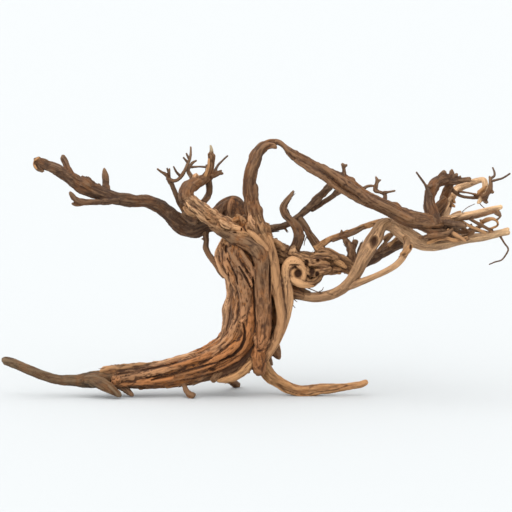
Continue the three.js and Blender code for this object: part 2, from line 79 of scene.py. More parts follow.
# A finish: colour of the wood (sRGB) and of its thin end, how much bark is left on it, how many strands
# show round a limb, how deep the grooves between them are (in radii), and how high the grain's ridges
# stand (in millimetres).
Finish = namedtuple("Finish", "colour tip bark strands groove ridge")
FINISHES = {
    "red": Finish((0.49, 0.295, 0.135), (0.3, 0.18, 0.085), 0.75, 4, 0.18, 1.9),
    "tan": Finish((0.52, 0.375, 0.235), (0.53, 0.385, 0.25), 0.4, 4, 0.16, 1.5),
    "pale": Finish((0.515, 0.39, 0.275), (0.56, 0.435, 0.315), 0.12, 3, 0.1, 0.9),
    # The cream finish is pale wood made paler: partly the limbs' own pale colour, partly painted light on the
    # right limb's shaded underside.
    "cream": Finish((0.665, 0.53, 0.4), (0.665, 0.55, 0.42), 0.12, 3, 0.1, 0.9),
    "peeled": Finish((0.51, 0.37, 0.245), (0.53, 0.385, 0.26), 0.15, 3, 0.1, 0.9),
    "rose": Finish((0.58, 0.435, 0.315), (0.52, 0.385, 0.27), 0.4, 4, 0.15, 2.0),
    "flaky": Finish((0.58, 0.445, 0.32), (0.47, 0.345, 0.24), 0.85, 6, 0.1, 3.0),
    "umber": Finish((0.32, 0.21, 0.12), (0.35, 0.24, 0.15), 0.7, 4, 0.16, 1.7),
    "dark": Finish((0.265, 0.175, 0.108), (0.3, 0.21, 0.14), 0.65, 3, 0.15, 1.3),
    "russet": Finish((0.27, 0.165, 0.085), (0.29, 0.185, 0.105), 0.6, 4, 0.14, 1.6),
    "grey": Finish((0.255, 0.195, 0.13), (0.265, 0.205, 0.145), 0.3, 4, 0.1, 0.8),
    "sweep": Finish((0.325, 0.23, 0.15), (0.5, 0.32, 0.185), 0.6, 4, 0.08, 1.2),
    "slab": Finish((0.5, 0.35, 0.23), (0.3, 0.185, 0.095), 0.9, 3, 0.14, 1.6),
    "mass": Finish((0.36, 0.25, 0.165), (0.58, 0.405, 0.27), 0.8, 3, 0.12, 1.5),
    # The curl's finish is pale wood made lighter: painted light on the curl strand and lip, which lie in
    # shade.
    "curl": Finish((0.6, 0.455, 0.32), (0.58, 0.43, 0.295), 0.15, 3, 0.1, 0.9),
    "burl": Finish((0.44, 0.315, 0.2), (0.42, 0.3, 0.19), 0.85, 4, 0.2, 2.8),
    "bone": Finish((0.47, 0.42, 0.34), (0.5, 0.46, 0.38), 0.0, 3, 0.06, 0.4),
}

# Each limb is a run of (x, y, z, radius) points in millimetres, from where it grows to its tip.
HEART = [
    (-16, 15, 418, 36), (-18, 15, 396, 46), (-24, 15, 353, 48), (-18, 15, 312, 42), (-14, 15, 265, 42),
    (-16, 15, 215, 46), (-20, 14, 170, 48), (-40, 10, 128, 46), (-78, 4, 96, 40), (-128, -2, 76, 34),
    (-190, -8, 60, 29), (-252, -10, 50, 26), (-315, -12, 45, 24), (-368, -15, 44, 20),
]

# The limbs that run the length of the trunk, fused with its heart.
TRUNK_LIMBS = {
    "edge_groove": ("russet", [
        (-62, -14, 330, 7), (-56, -18, 300, 8), (-52, -20, 260, 8), (-54, -20, 220, 8), (-62, -20, 180, 8),
        (-80, -20, 144, 7),
    ]),
    "shoulder_fold_a": ("mass", [
        (-66, -40, 378, 8), (-52, -56, 352, 8), (-36, -62, 326, 8), (-20, -60, 300, 7), (-10, -56, 282, 4),
    ]),
    "shoulder_fold_b": ("mass", [
        (-42, -52, 374, 6), (-26, -62, 350, 7), (-12, -62, 326, 7), (-6, -58, 302, 4),
    ]),
    "edge_web": ("slab", [(-86, -6, 376, 9), (-80, -8, 352, 10), (-77, -6, 326, 9)]),
    "broken_rag_a": ("slab", [(0, -45, 156, 8), (2, -49, 141, 6.5), (0, -51, 132, 3)]),
    "broken_rag_b": ("slab", [(14, -49, 156, 9), (14, -53, 138, 7.5), (17, -55, 127, 3.5)]),
    "broken_rag_c": ("slab", [(26, -46, 158, 8), (28, -50, 144, 6), (30, -52, 135, 3)]),
    "edge_strand": ("rose", [
        (-72, 14, 400, 12), (-80, 8, 381, 12), (-92, 5, 353, 12), (-84, 3, 323, 12), (-65, 2, 290, 12),
        (-63, 0, 255, 12), (-72, 0, 217, 12), (-72, 0, 179, 13), (-82, -3, 140, 14), (-122, -6, 106, 14),
        (-165, -8, 95, 15), (-215, -10, 81, 15), (-265, -12, 73, 14), (-315, -14, 68, 14),
        (-360, -16, 66, 13), (-385, -16, 65, 11),
    ]),
    "left_strand": ("slab", [
        (-58, -22, 390, 14), (-64, -26, 360, 15), (-62, -28, 335, 16), (-50, -28, 306, 16),
        (-40, -28, 271, 16), (-38, -30, 226, 17), (-45, -30, 183, 17), (-65, -30, 145, 16),
        (-100, -28, 117, 15), (-145, -26, 93, 15), (-202, -26, 76, 15), (-265, -27, 61, 14),
        (-320, -28, 52, 13), (-350, -30, 50, 12),
    ]),
    "middle_strand": ("red", [
        (-30, -30, 400, 14), (-32, -34, 373, 14), (-22, -36, 335, 15), (-12, -36, 297, 14),
        (-10, -36, 247, 14), (-12, -37, 201, 15), (-18, -37, 163, 15), (-38, -36, 130, 15),
        (-72, -34, 104, 15), (-120, -31, 80, 15), (-170, -29, 59, 14), (-228, -27, 43, 13),
        (-282, -26, 32, 12),
    ]),
    "broken_strand": ("sweep", [
        (-112, -36, 436, 9), (-80, -44, 416, 14), (-48, -48, 402, 17), (-18, -51, 390, 19),
        (4, -52, 372, 20.5), (12, -52, 346, 20), (14, -50, 300, 20), (17, -48, 250, 20.5),
        (19, -47, 205, 20), (18, -46, 165, 19), (14, -45, 141, 18), (10, -46, 127, 13),
    ]),
    "slab_strand": ("mass", [
        (-48, -34, 392, 14), (-46, -44, 364, 18), (-40, -48, 330, 19), (-32, -48, 292, 18),
        (-26, -46, 256, 16), (-28, -42, 222, 13), (-36, -38, 190, 10),
    ]),
    "hanging_stub": ("red", [
        (20, -22, 175, 14), (14, -30, 140, 16), (8, -36, 112, 18), (6, -38, 92, 18), (8, -40, 70, 14),
        (9, -40, 56, 9),
    ]),
    "pale_strand": ("peeled", [
        (6, -28, 436, 9), (14, -38, 416, 14), (26, -45, 394, 14.5), (36, -47, 368, 14),
        (44, -48, 338, 12.5), (49, -50, 298, 12), (56, -50, 248, 12.5), (62, -48, 208, 12),
        (60, -45, 172, 12), (48, -41, 140, 12), (34, -36, 114, 10), (22, -30, 92, 7),
    ]),
    "curl_strand": ("curl", [
        (40, -24, 132, 10), (50, -26, 148, 12), (62, -28, 172, 13), (72, -30, 205, 14.5),
        (79, -32, 246, 15), (78, -34, 281, 14), (74, -36, 310, 12.5), (77, -38, 332, 12.5),
        (90, -40, 345, 12.5), (105, -41, 341, 10.5), (115, -40, 328, 9), (119, -38, 312, 7.5),
        (116, -36, 297, 6), (108, -34, 286, 5),
    ]),
    "curl_lip": ("curl", [
        (84, -34, 310, 8), (94, -37, 298, 11), (108, -36, 290, 11.5), (123, -30, 284, 9),
        (138, -22, 281, 5), (148, -14, 288, 4),
    ]),
    "curl_heart": ("tan", [(84, -20, 300, 18), (96, -27, 314, 20), (104, -29, 326, 17)]),
    "belly_pale": ("tan", [
        (6, -32, 108, 8), (-10, -38, 91, 11), (-28, -41, 72, 12), (-52, -41, 55, 11), (-78, -38, 45, 8),
        (-98, -33, 41, 4),
    ]),
    "right_flank": ("umber", [
        (30, 4, 388, 24), (46, 8, 340, 22), (54, 10, 285, 21), (56, 10, 230, 21), (50, 10, 180, 20),
        (36, 10, 140, 19), (24, 12, 104, 15),
    ]),
    "under_strand": ("umber", [
        (18, -12, 200, 14), (12, -14, 165, 15), (2, -16, 134, 15), (-20, -18, 101, 15), (-50, -18, 76, 15),
        (-90, -18, 58, 14), (-132, -18, 50, 11), (-178, -18, 37, 11), (-230, -18, 28, 9),
    ]),
    "low_rag_a": ("red", [
        (-30, -42, 152, 3), (-60, -48, 126, 8), (-100, -48, 96, 8), (-150, -44, 72, 7), (-200, -40, 56, 3),
    ]),
    "low_rag_b": ("slab", [
        (-150, -36, 96, 3), (-200, -40, 80, 7), (-260, -42, 64, 8), (-310, -41, 52, 7), (-356, -40, 44, 4),
    ]),
    "low_rag_c": ("red", [
        (-90, -36, 122, 3), (-140, -42, 100, 7), (-190, -42, 86, 7), (-240, -38, 76, 6), (-290, -34, 68, 3),
    ]),
    "low_rag_d": ("red", [
        (-180, -34, 56, 3), (-230, -40, 46, 8), (-280, -42, 40, 8), (-330, -40, 34, 6), (-352, -38, 30, 3),
    ]),
    "top_rag": ("burl", [
        (-240, -16, 86, 3), (-285, -20, 80, 6), (-330, -24, 76, 7), (-366, -26, 71, 6), (-392, -26, 65, 4),
    ]),
}

# The crown, the hump, the roots and the feet.
CROWN_AND_ROOTS = {
    "curl_shadow": ("dark", [
        (48, 4, 300, 24), (68, 0, 280, 22), (90, -4, 271, 17), (108, -8, 271, 10), (124, -10, 266, 5.5),
        (138, -12, 262, 3),
    ]),
    # A dark strand laid over the start of the pale lower limb: painted shade there.
    "limb_root_shade_strand": ("umber", [
        (64, -6, 266, 15), (86, -14, 261, 14.5), (106, -20, 257, 11.5), (122, -18, 254, 7),
    ]),
    "tail_root": ("grey", [
        (-350, -14, 44, 22), (-392, -15, 43, 21), (-425, -17, 42, 20), (-452, -20, 41, 15),
        (-490, -25, 44, 12), (-515, -28, 49, 12), (-540, -30, 58, 12), (-565, -32, 69, 12),
        (-590, -33, 80, 11.5), (-615, -35, 90, 11), (-634, -35, 95, 10),
    ]),
    "heel_lobe": ("grey", [
        (-424, -30, 44, 12), (-402, -42, 43, 15), (-383, -50, 36, 15), (-363, -54, 25, 13.5),
        (-346, -56, 14, 9.5), (-337, -57, 7, 5),
    ]),
    "heel_ridge": ("grey", [(-372, -62, 36, 3), (-358, -67, 27, 4), (-347, -66, 14, 4), (-342, -63, 5, 3)]),
    "heel_whorl": ("sweep", [(-348, -20, 46, 13), (-349, -44, 46, 12.5), (-349, -53, 46, 10)]),
    "heel_toe": ("dark", [
        (-356, -16, 36, 12), (-337, -26, 27, 10.5), (-323, -31, 17, 9), (-313, -34, 9, 6.5),
        (-306, -36, 4, 3.5),
    ]),
    "peg_foot": ("dark", [
        (-187, -15, 46, 8.5), (-180, -28, 29, 7), (-173, -38, 16, 7.5), (-163, -46, 8, 8.5),
        (-153, -52, 6, 6.5),
    ]),
    "rear_foot": ("umber", [
        (-104, 15, 60, 13), (-88, 52, 42, 10), (-68, 92, 23, 8.5), (-52, 122, 8, 9.5), (-46, 134, 3, 8),
    ]),
    "right_root": ("tan", [
        (0, 12, 128, 22), (12, 8, 86, 19), (33, 2, 52, 16), (60, -4, 31, 14), (90, -6, 17, 14.5),
        (125, -6, 11, 15), (160, -6, 15, 12.5), (198, -8, 19, 10.5), (235, -12, 24, 9), (263, -17, 30, 8),
        (280, -20, 37, 6.5),
    ]),
    "back_shard": ("umber", [
        (30, 25, 150, 13), (40, 36, 128, 13), (48, 44, 106, 13), (56, 50, 90, 8), (62, 52, 83, 3),
    ]),
    "back_shard_edge": ("tan", [(44, 34, 140, 7), (54, 42, 122, 6), (58, 46, 108, 5), (60, 48, 92, 4)]),
    "back_peg": ("dark", [(16, 25, 108, 13), (28, 38, 88, 12), (35, 44, 76, 9), (40, 46, 68, 4)]),
    "belly_shard": ("umber", [(-86, -16, 68, 12), (-101, -30, 52, 11), (-110, -36, 40, 7.5)]),
    "back_splinter": ("umber", [(-46, 12, 74, 9), (-27, 33, 59, 5.5), (-16, 41, 50, 3.5)]),
    "side_root": ("dark", [
        (-128, 44, 410, 9), (-125, 36, 388, 7), (-126, 30, 371, 7), (-118, 24, 353, 7), (-105, 16, 336, 7),
        (-92, 10, 318, 7), (-78, 8, 296, 6),
    ]),
    "crown": ("tan", [(-78, 22, 390, 26), (-44, 18, 400, 36), (-4, 6, 398, 40), (28, 4, 382, 34)]),
    "hump": ("russet", [
        (-112, 50, 416, 17), (-98, 56, 442, 21), (-78, 58, 460, 27), (-58, 54, 465, 32), (-42, 44, 454, 29),
        (-32, 28, 428, 28),
    ]),
    "crown_knob": ("umber", [(-30, 2, 425, 18), (-30, -2, 443, 14), (-26, -2, 453, 9)]),
    "hump_fold_a": ("russet", [
        (-98, 40, 428, 10), (-88, 37, 456, 11), (-74, 38, 478, 10), (-60, 42, 490, 6),
    ]),
    "hump_fold_b": ("sweep", [
        (-64, 30, 420, 11), (-65, 25, 450, 12), (-64, 30, 472, 11), (-60, 40, 490, 6),
    ]),
    "hump_fold_c": ("russet", [
        (-36, 24, 424, 10), (-34, 22, 446, 10), (-38, 28, 466, 9), (-46, 38, 486, 6),
    ]),
    "crown_rag_a": ("flaky", [
        (-28, -42, 410, 10), (-44, -46, 422, 11), (-58, -48, 428, 8), (-68, -48, 436, 4),
    ]),
    "crown_rag_f": ("burl", [(-16, -46, 404, 9), (-34, -54, 412, 9), (-50, -58, 416, 5)]),
    "crown_rag_g": ("burl", [(-62, -20, 436, 9), (-50, -30, 446, 8), (-36, -34, 450, 5)]),
    "crown_rag_b": ("burl", [(-24, -34, 428, 12), (-30, -42, 444, 8.5), (-38, -44, 456, 4)]),
    "crown_rag_c": ("burl", [(-10, -40, 420, 11), (-20, -50, 432, 7.5), (-18, -54, 444, 4)]),
    "crown_rag_d": ("rose", [(-4, -40, 436, 9), (-14, -46, 452, 6), (-12, -46, 462, 3)]),
    "crown_rag_e": ("burl", [(-34, -26, 432, 10), (-42, -30, 450, 8), (-48, -32, 462, 4)]),
    "side_thorn": ("dark", [(-124, 37, 392, 4), (-139, 36, 391, 2.2)]),
}

ARCH = {
    "arch": ("umber", [
        (12, -18, 386, 26), (3, -27, 432, 22), (-7, -26, 470, 20), (-12, -20, 504, 17), (-14, -12, 538, 16),
        (-10, -5, 570, 17), (0, 0, 599, 16.5), (15, 4, 624, 14), (34, 8, 636, 10), (54, 8, 638, 6.5),
        (70, 6, 629, 6.5), (86, 3, 613, 10), (110, -3, 596, 13.5), (140, -9, 578, 15),
        (172, -16, 561, 16.5), (210, -24, 543, 18), (242, -30, 520, 19.5), (273, -36, 500, 19),
        (310, -42, 484, 18), (342, -44, 469, 18.5), (375, -44, 452, 19), (410, -40, 446, 19),
        (448, -34, 441, 17), (472, -28, 442, 12), (488, -25, 443, 7),
    ]),
    "arch_foot": ("burl", [
        (34, -30, 384, 18), (20, -34, 404, 22), (8, -35, 426, 21), (0, -34, 450, 16), (-6, -32, 474, 8),
    ]),
    "arch_foot_pale": ("peeled", [
        (-22, -52, 424, 4), (-6, -56, 412, 8), (10, -58, 396, 9), (24, -56, 380, 8), (32, -54, 366, 4),
    ]),
    "arch_foot_rag": ("rose", [
        (-4, -42, 412, 7), (-8, -46, 430, 7), (-14, -46, 448, 6), (-16, -44, 466, 3),
    ]),
    "arch_splinter": ("umber", [(12, 0, 615, 9), (30, -1, 629, 9), (43, -3, 629, 7), (51, -4, 624, 4.5)]),
    "arch_spur": ("dark", [
        (218, -24, 552, 7), (218, -22, 572, 4.5), (216, -21, 582, 5), (213, -20, 588, 3.5),
    ]),
    "arch_keel": ("umber", [
        (346, -42, 452, 7), (378, -42, 437, 8), (408, -38, 431, 7), (432, -34, 428, 5),
    ]),
    "arch_flap": ("umber", [(328, -36, 480, 10), (346, -38, 484, 8), (362, -40, 474, 4)]),
    "perch": ("dark", [
        (318, -34, 492, 7), (320, -30, 510, 4.5), (308, -28, 516, 4.5), (296, -27, 520, 5),
        (298, -26, 532, 5), (300, -25, 545, 4.5), (296, -24, 556, 2.5),
    ]),
    "perch_side": ("dark", [(300, -25, 541, 4), (311, -24, 547, 2.5)]),
    "perch_arm": ("dark", [(318, -30, 514, 5), (330, -32, 517, 3), (346, -35, 520, 2.8)]),
    "perch_tail": ("dark", [(262, -24, 522, 6), (276, -24, 530, 4), (292, -25, 531, 3.5)]),
    "arch_spur_side": ("dark", [(217, -22, 576, 4), (224, -21, 582, 4), (227, -21, 580, 3)]),
    "arch_strand_a": ("umber", [
        (-6, -35, 470, 7), (-14, -33, 504, 7), (-16, -25, 538, 7), (-10, -18, 572, 7), (5, -11, 604, 7),
        (18, -7, 626, 6), (34, -4, 634, 4),
    ]),
    "arch_strand_b": ("umber", [
        (150, -26, 588, 5), (190, -38, 562, 7), (228, -48, 536, 9), (268, -54, 508, 9), (308, -60, 488, 8),
        (344, -60, 470, 8), (384, -58, 450, 6),
    ]),
    "arch_strand_c": ("umber", [
        (96, -12, 594, 5), (132, -22, 572, 7), (168, -30, 552, 7), (204, -40, 526, 7), (238, -46, 504, 6),
        (270, -50, 488, 4),
    ]),
}

BURL_AND_MIDDLE = {
    "burl": ("burl", [
        (6, 6, 380, 38), (36, 8, 368, 32), (62, 8, 356, 29), (88, 7, 345, 28), (114, 5, 337, 28),
        (140, 2, 331, 27), (165, 0, 330, 25), (190, 0, 333, 24), (215, -3, 330, 22), (238, -8, 322, 19),
        (250, -14, 314, 13),
    ]),
    "burl_fill": ("burl", [(116, 4, 318, 15), (140, 6, 304, 13), (162, 4, 294, 9)]),
    "burl_lip": ("burl", [
        (112, -12, 318, 17), (124, -16, 300, 16), (136, -20, 290, 11), (150, -20, 294, 8),
        (166, -16, 312, 10), (190, -12, 320, 12), (214, -10, 322, 12),
    ]),
    "burl_ridge_a": ("burl", [
        (84, -24, 366, 8), (112, -30, 352, 10), (146, -32, 340, 11), (180, -28, 334, 9),
    ]),
    "burl_ridge_b": ("burl", [
        (120, -26, 338, 5), (146, -30, 352, 9), (176, -28, 356, 9), (206, -20, 348, 5),
    ]),
    "burl_ridge_c": ("burl", [
        (112, -30, 330, 8), (136, -36, 316, 10), (158, -34, 318, 9), (188, -26, 326, 8),
    ]),
    "burl_shard_a": ("tan", [(196, -20, 344, 7), (212, -24, 336, 7.5), (226, -26, 326, 4)]),
    "burl_shard_b": ("burl", [(40, -24, 392, 9), (60, -30, 384, 8), (72, -32, 372, 5)]),
    "finger_knob": ("pale", [(90, -16, 358, 11), (94, -26, 369, 10), (96, -28, 376, 7)]),
    "finger": ("dark", [
        (88, -8, 362, 12), (101, -17, 384, 12.5), (107, -24, 404, 12.5), (102, -28, 426, 11.5),
        (86, -31, 446, 9.5), (73, -32, 461, 10), (68, -31, 477, 9), (74, -29, 490, 8), (80, -26, 499, 7),
        (88, -23, 510, 5), (94, -21, 520, 2.5),
    ]),
    "diagonal": ("dark", [
        (14, 2, 414, 14), (46, 18, 421, 9), (75, 32, 426, 8), (102, 40, 445, 8.5), (130, 44, 467, 9),
        (152, 42, 488, 10), (172, 32, 511, 8.5), (192, 8, 534, 9),
    ]),
    "diagonal_fork": ("dark", [
        (138, 45, 467, 9), (162, 50, 478, 7.5), (188, 40, 495, 7), (214, 4, 522, 9),
    ]),
    "diagonal_thorn": ("dark", [(70, 28, 423, 3.5), (79, 24, 408, 2)]),
    "y_limb": ("dark", [
        (168, -2, 350, 15), (151, 7, 381, 11), (133, 19, 408, 9), (119, 31, 431, 8), (107, 39, 446, 8),
    ]),
    "upper_limb": ("tan", [
        (148, 0, 368, 11), (180, 5, 391, 7.5), (212, 8, 404, 6.5), (248, 5, 416, 6.5), (280, -4, 431, 7),
        (308, -16, 441, 7), (332, -26, 444, 9),
    ]),
    "upper_bark": ("dark", [(190, 0, 390, 4), (216, 2, 400, 5), (246, 0, 411, 5), (270, -6, 424, 3)]),
    "upper_spur": ("dark", [(212, 6, 406, 4), (214, 4, 415, 3.5), (212, 3, 419, 2)]),
    "wedge": ("burl", [
        (152, 2, 362, 10), (174, -6, 366, 9.5), (198, -12, 354, 11), (224, -14, 343, 10),
        (240, -14, 334, 6),
    ]),
    "stump": ("umber", [(237, -6, 328, 14), (240, -4, 352, 12.5), (239, -2, 372, 12), (239, 0, 385, 12)]),
    "stump_fork_a": ("dark", [(234, 0, 378, 9), (225, 0, 390, 8), (220, 0, 396, 5.5)]),
    "stump_fork_b": ("dark", [(243, 0, 376, 9), (248, 0, 388, 8), (249, 0, 395, 5)]),
    "link_b": ("tan", [(334, 12, 378, 5), (348, 0, 394, 4.5), (362, -12, 410, 5)]),
    "link_c": ("pale", [(318, -8, 396, 4.5), (330, -14, 408, 4), (350, -18, 414, 4.5)]),
    "burl_spur": ("dark", [
        (242, 2, 330, 9), (256, 12, 352, 5.5), (262, 19, 371, 5.5), (266, 23, 384, 4.5),
    ]),
    "lower_limb": ("pale", [
        (62, -2, 264, 13), (88, -6, 258, 12), (112, -10, 254, 11.5), (141, -16, 251, 12),
        (172, -24, 255, 12.5), (202, -32, 267, 13), (230, -40, 289, 14), (250, -45, 319, 15),
        (264, -46, 348, 16), (280, -42, 378, 19), (295, -38, 404, 20), (310, -30, 430, 16),
        (330, -24, 440, 14),
    ]),
    "lower_fork": ("pale", [
        (206, -30, 268, 7), (238, -42, 285, 9.5), (265, -50, 297, 8.5), (295, -58, 311, 8),
        (325, -62, 326, 8), (350, -62, 343, 8.5), (368, -54, 366, 9), (374, -40, 390, 9),
        (370, -28, 404, 9),
    ]),
    "lower_fork_stub": ("tan", [(360, -56, 362, 7), (374, -64, 376, 8), (382, -66, 388, 7)]),
    "back_limb": ("dark", [
        (222, 0, 322, 15), (262, 17, 329, 13), (295, 24, 345, 14), (328, 22, 364, 14), (358, 10, 381, 13),
        (388, -8, 394, 13),
    ]),
    "link_a": ("umber", [(306, -6, 366, 5), (325, -12, 391, 4.5), (344, -18, 414, 5)]),
}

RIGHT_BRANCHES = {
    "right_limb": ("cream", [
        (310, -24, 434, 13), (335, -22, 433, 16), (360, -22, 418, 19.5), (385, -21, 401, 20.5),
        (412, -19, 388, 18.5), (442, -15, 384, 16.5), (472, -9, 387, 16), (502, -3, 392, 13.5),
        (535, 2, 397, 11.5), (568, 4, 400, 10.5), (598, 3, 406, 9.5), (620, 0, 412, 9), (633, -1, 412, 7),
    ]),
    "hook": ("dark", [
        (446, -34, 434, 21), (437, -31, 460, 17), (431, -27, 486, 14.5), (432, -20, 510, 12.5),
        (442, -12, 530, 13), (460, -4, 542, 14), (480, 0, 544, 13.5), (496, -4, 541, 9.5),
        (515, -10, 543, 6.5), (534, -15, 546, 6),
    ]),
    "hook_inner": ("umber", [(474, -2, 500, 9), (466, -2, 488, 11), (455, 0, 474, 12), (446, 0, 460, 12)]),
    "net_strand_a": ("tan", [
        (424, -40, 390, 4), (460, -47, 402, 6), (492, -46, 397, 6), (524, -38, 404, 4),
    ]),
    "net_strand_b": ("peeled", [(474, -40, 424, 4), (496, -47, 410, 5.5), (520, -44, 394, 4)]),
    "net_strand_c": ("umber", [
        (404, -38, 402, 4), (436, -48, 410, 7), (468, -48, 414, 6.5), (488, -42, 426, 4),
    ]),
    "net_floor": ("umber", [(436, -22, 400, 8), (470, -24, 403, 9), (506, -22, 404, 7)]),
    "hook_stub_a": ("dark", [(462, -2, 548, 11), (468, -1, 559, 9), (471, 0, 567, 5.5)]),
    "hook_stub_b": ("dark", [(487, 0, 547, 11), (489, 3, 560, 7), (488, 5, 570, 4)]),
    "hook_stub_d": ("dark", [(492, -4, 550, 7), (498, -6, 556, 4.5), (502, -8, 560, 3)]),
    "hook_stub_c": ("dark", [(507, -7, 545, 5), (508, -8, 556, 3)]),
    "whip": ("dark", [
        (476, 2, 538, 7.5), (490, 10, 518, 5.5), (508, 14, 504, 4.6), (530, 12, 499, 4.3),
        (555, 4, 500, 4.6), (572, -4, 504, 6), (582, -8, 518, 6.5), (584, -8, 538, 5), (582, -5, 554, 4),
    ]),
    "whip_knot": ("dark", [(580, -6, 520, 6), (591, -10, 512, 4.5)]),
    "cross_twig": ("umber", [
        (506, 13, 514, 3.6), (528, 9, 511, 3.2), (548, 5, 507, 3.2), (566, -2, 504, 3.5),
    ]),
    "pale_loop": ("cream", [
        (466, 0, 440, 12), (476, 18, 464, 11.5), (488, 34, 488, 10.5), (500, 44, 508, 10.5),
        (516, 47, 521, 10), (538, 42, 531, 9), (556, 31, 539, 8), (571, 20, 540, 7.5), (573, 11, 522, 8),
        (568, 4, 506, 8.5), (560, 0, 494, 6), (552, -2, 484, 3.5),
    ]),
    "loop_strand": ("cream", [
        (466, 2, 450, 4), (476, 10, 472, 4.5), (488, 24, 496, 4.5), (502, 34, 514, 4), (516, 38, 524, 2.5),
    ]),
    "back_stub": ("umber", [
        (458, 4, 452, 11), (465, 12, 477, 9), (470, 15, 492, 9), (476, 12, 512, 10), (484, 6, 530, 9),
        (490, 0, 541, 7),
    ]),
    "long_twig_link": ("dark", [(438, -16, 530, 4), (428, -29, 530, 3), (419, -38, 534, 3)]),
    "shard_a": ("tan", [(484, 20, 484, 7), (492, 18, 479, 4.5), (499, 16, 474, 3)]),
    "shard_b": ("tan", [(488, 26, 500, 7), (496, 24, 488, 4), (500, 22, 482, 2.5)]),
    "straight_limb": ("cream", [
        (480, -18, 449, 8), (498, -24, 453, 9.5), (530, -36, 461, 8.5), (560, -48, 470, 7.5),
        (585, -56, 477, 6.5), (606, -62, 483, 5),
    ]),
    "straight_bark": ("umber", [
        (496, -26, 446, 4), (528, -38, 453, 4.5), (560, -50, 462, 4.5), (588, -58, 470, 4),
    ]),
    "straight_chip": ("tan", [(488, -18, 456, 5), (500, -22, 464, 3.5), (510, -24, 468, 2.5)]),
    "straight_shard": ("dark", [(584, -56, 474, 5), (596, -60, 466, 6), (602, -60, 457, 3)]),
    "dark_stub": ("dark", [
        (462, -30, 441, 12), (486, -42, 438, 8), (506, -50, 437, 7), (519, -54, 435, 5.5),
    ]),
    "root_strand_a": ("dark", [
        (402, -36, 430, 6), (430, -42, 420, 7), (462, -36, 418, 7), (494, -20, 422, 6), (518, -4, 430, 4.5),
    ]),
    "root_strand_b": ("umber", [
        (470, -22, 420, 7), (492, -26, 408, 6), (512, -24, 398, 5.5), (530, -16, 398, 4.5),
    ]),
    "root_strand_c": ("umber", [
        (478, -8, 444, 6), (500, 2, 432, 6), (520, 8, 420, 5), (544, 12, 404, 5), (568, 10, 402, 4),
    ]),
    "dark_shard": ("dark", [(474, -24, 434, 8), (492, -30, 427, 6), (500, -33, 423, 3.5)]),
    "net_d": ("umber", [(548, 18, 416, 5), (572, 12, 411, 4.5), (590, 6, 407, 5)]),
    "whip_heel": ("dark", [(574, -4, 506, 6), (571, -3, 492, 6.5), (578, -5, 487, 4.5)]),
    "net_e": ("tan", [(500, -20, 450, 5), (522, -30, 436, 4.5), (548, -30, 424, 4), (572, -20, 412, 4)]),
    "net_f": ("umber", [(516, 0, 398, 6), (532, -10, 408, 5), (546, -12, 420, 4), (552, -10, 430, 3)]),
    "end_flare": ("cream", [(606, 2, 408, 7), (622, 8, 416, 6), (634, 10, 420, 5)]),
    "loop_knot": ("tan", [(556, 4, 510, 7), (566, 2, 520, 6), (574, -2, 530, 4)]),
    "net_a": ("umber", [(474, -8, 432, 10), (490, 4, 414, 7.5), (508, 6, 398, 7)]),
    "net_b": ("umber", [
        (462, -4, 420, 11), (497, 14, 413, 6.5), (525, 19, 411, 5.5), (553, 20, 419, 5), (567, 21, 431, 4),
        (562, 23, 442, 3),
    ]),
    "net_c": ("umber", [
        (520, -26, 455, 5), (540, -14, 443, 4), (562, -4, 431, 3.8), (580, 2, 421, 3.8), (594, 4, 411, 4.5),
    ]),
    "ring_twig": ("tan", [
        (560, 10, 430, 4), (568, 12, 437, 5), (579, 6, 443, 5.5), (591, 2, 446, 4), (602, 2, 440, 3),
        (604, 3, 430, 2.8), (590, 4, 422, 3), (578, 3, 419, 3.5),
    ]),
    "eye_knot": ("umber", [(436, -8, 398, 12), (450, -18, 405, 12), (462, -22, 408, 8)]),
}

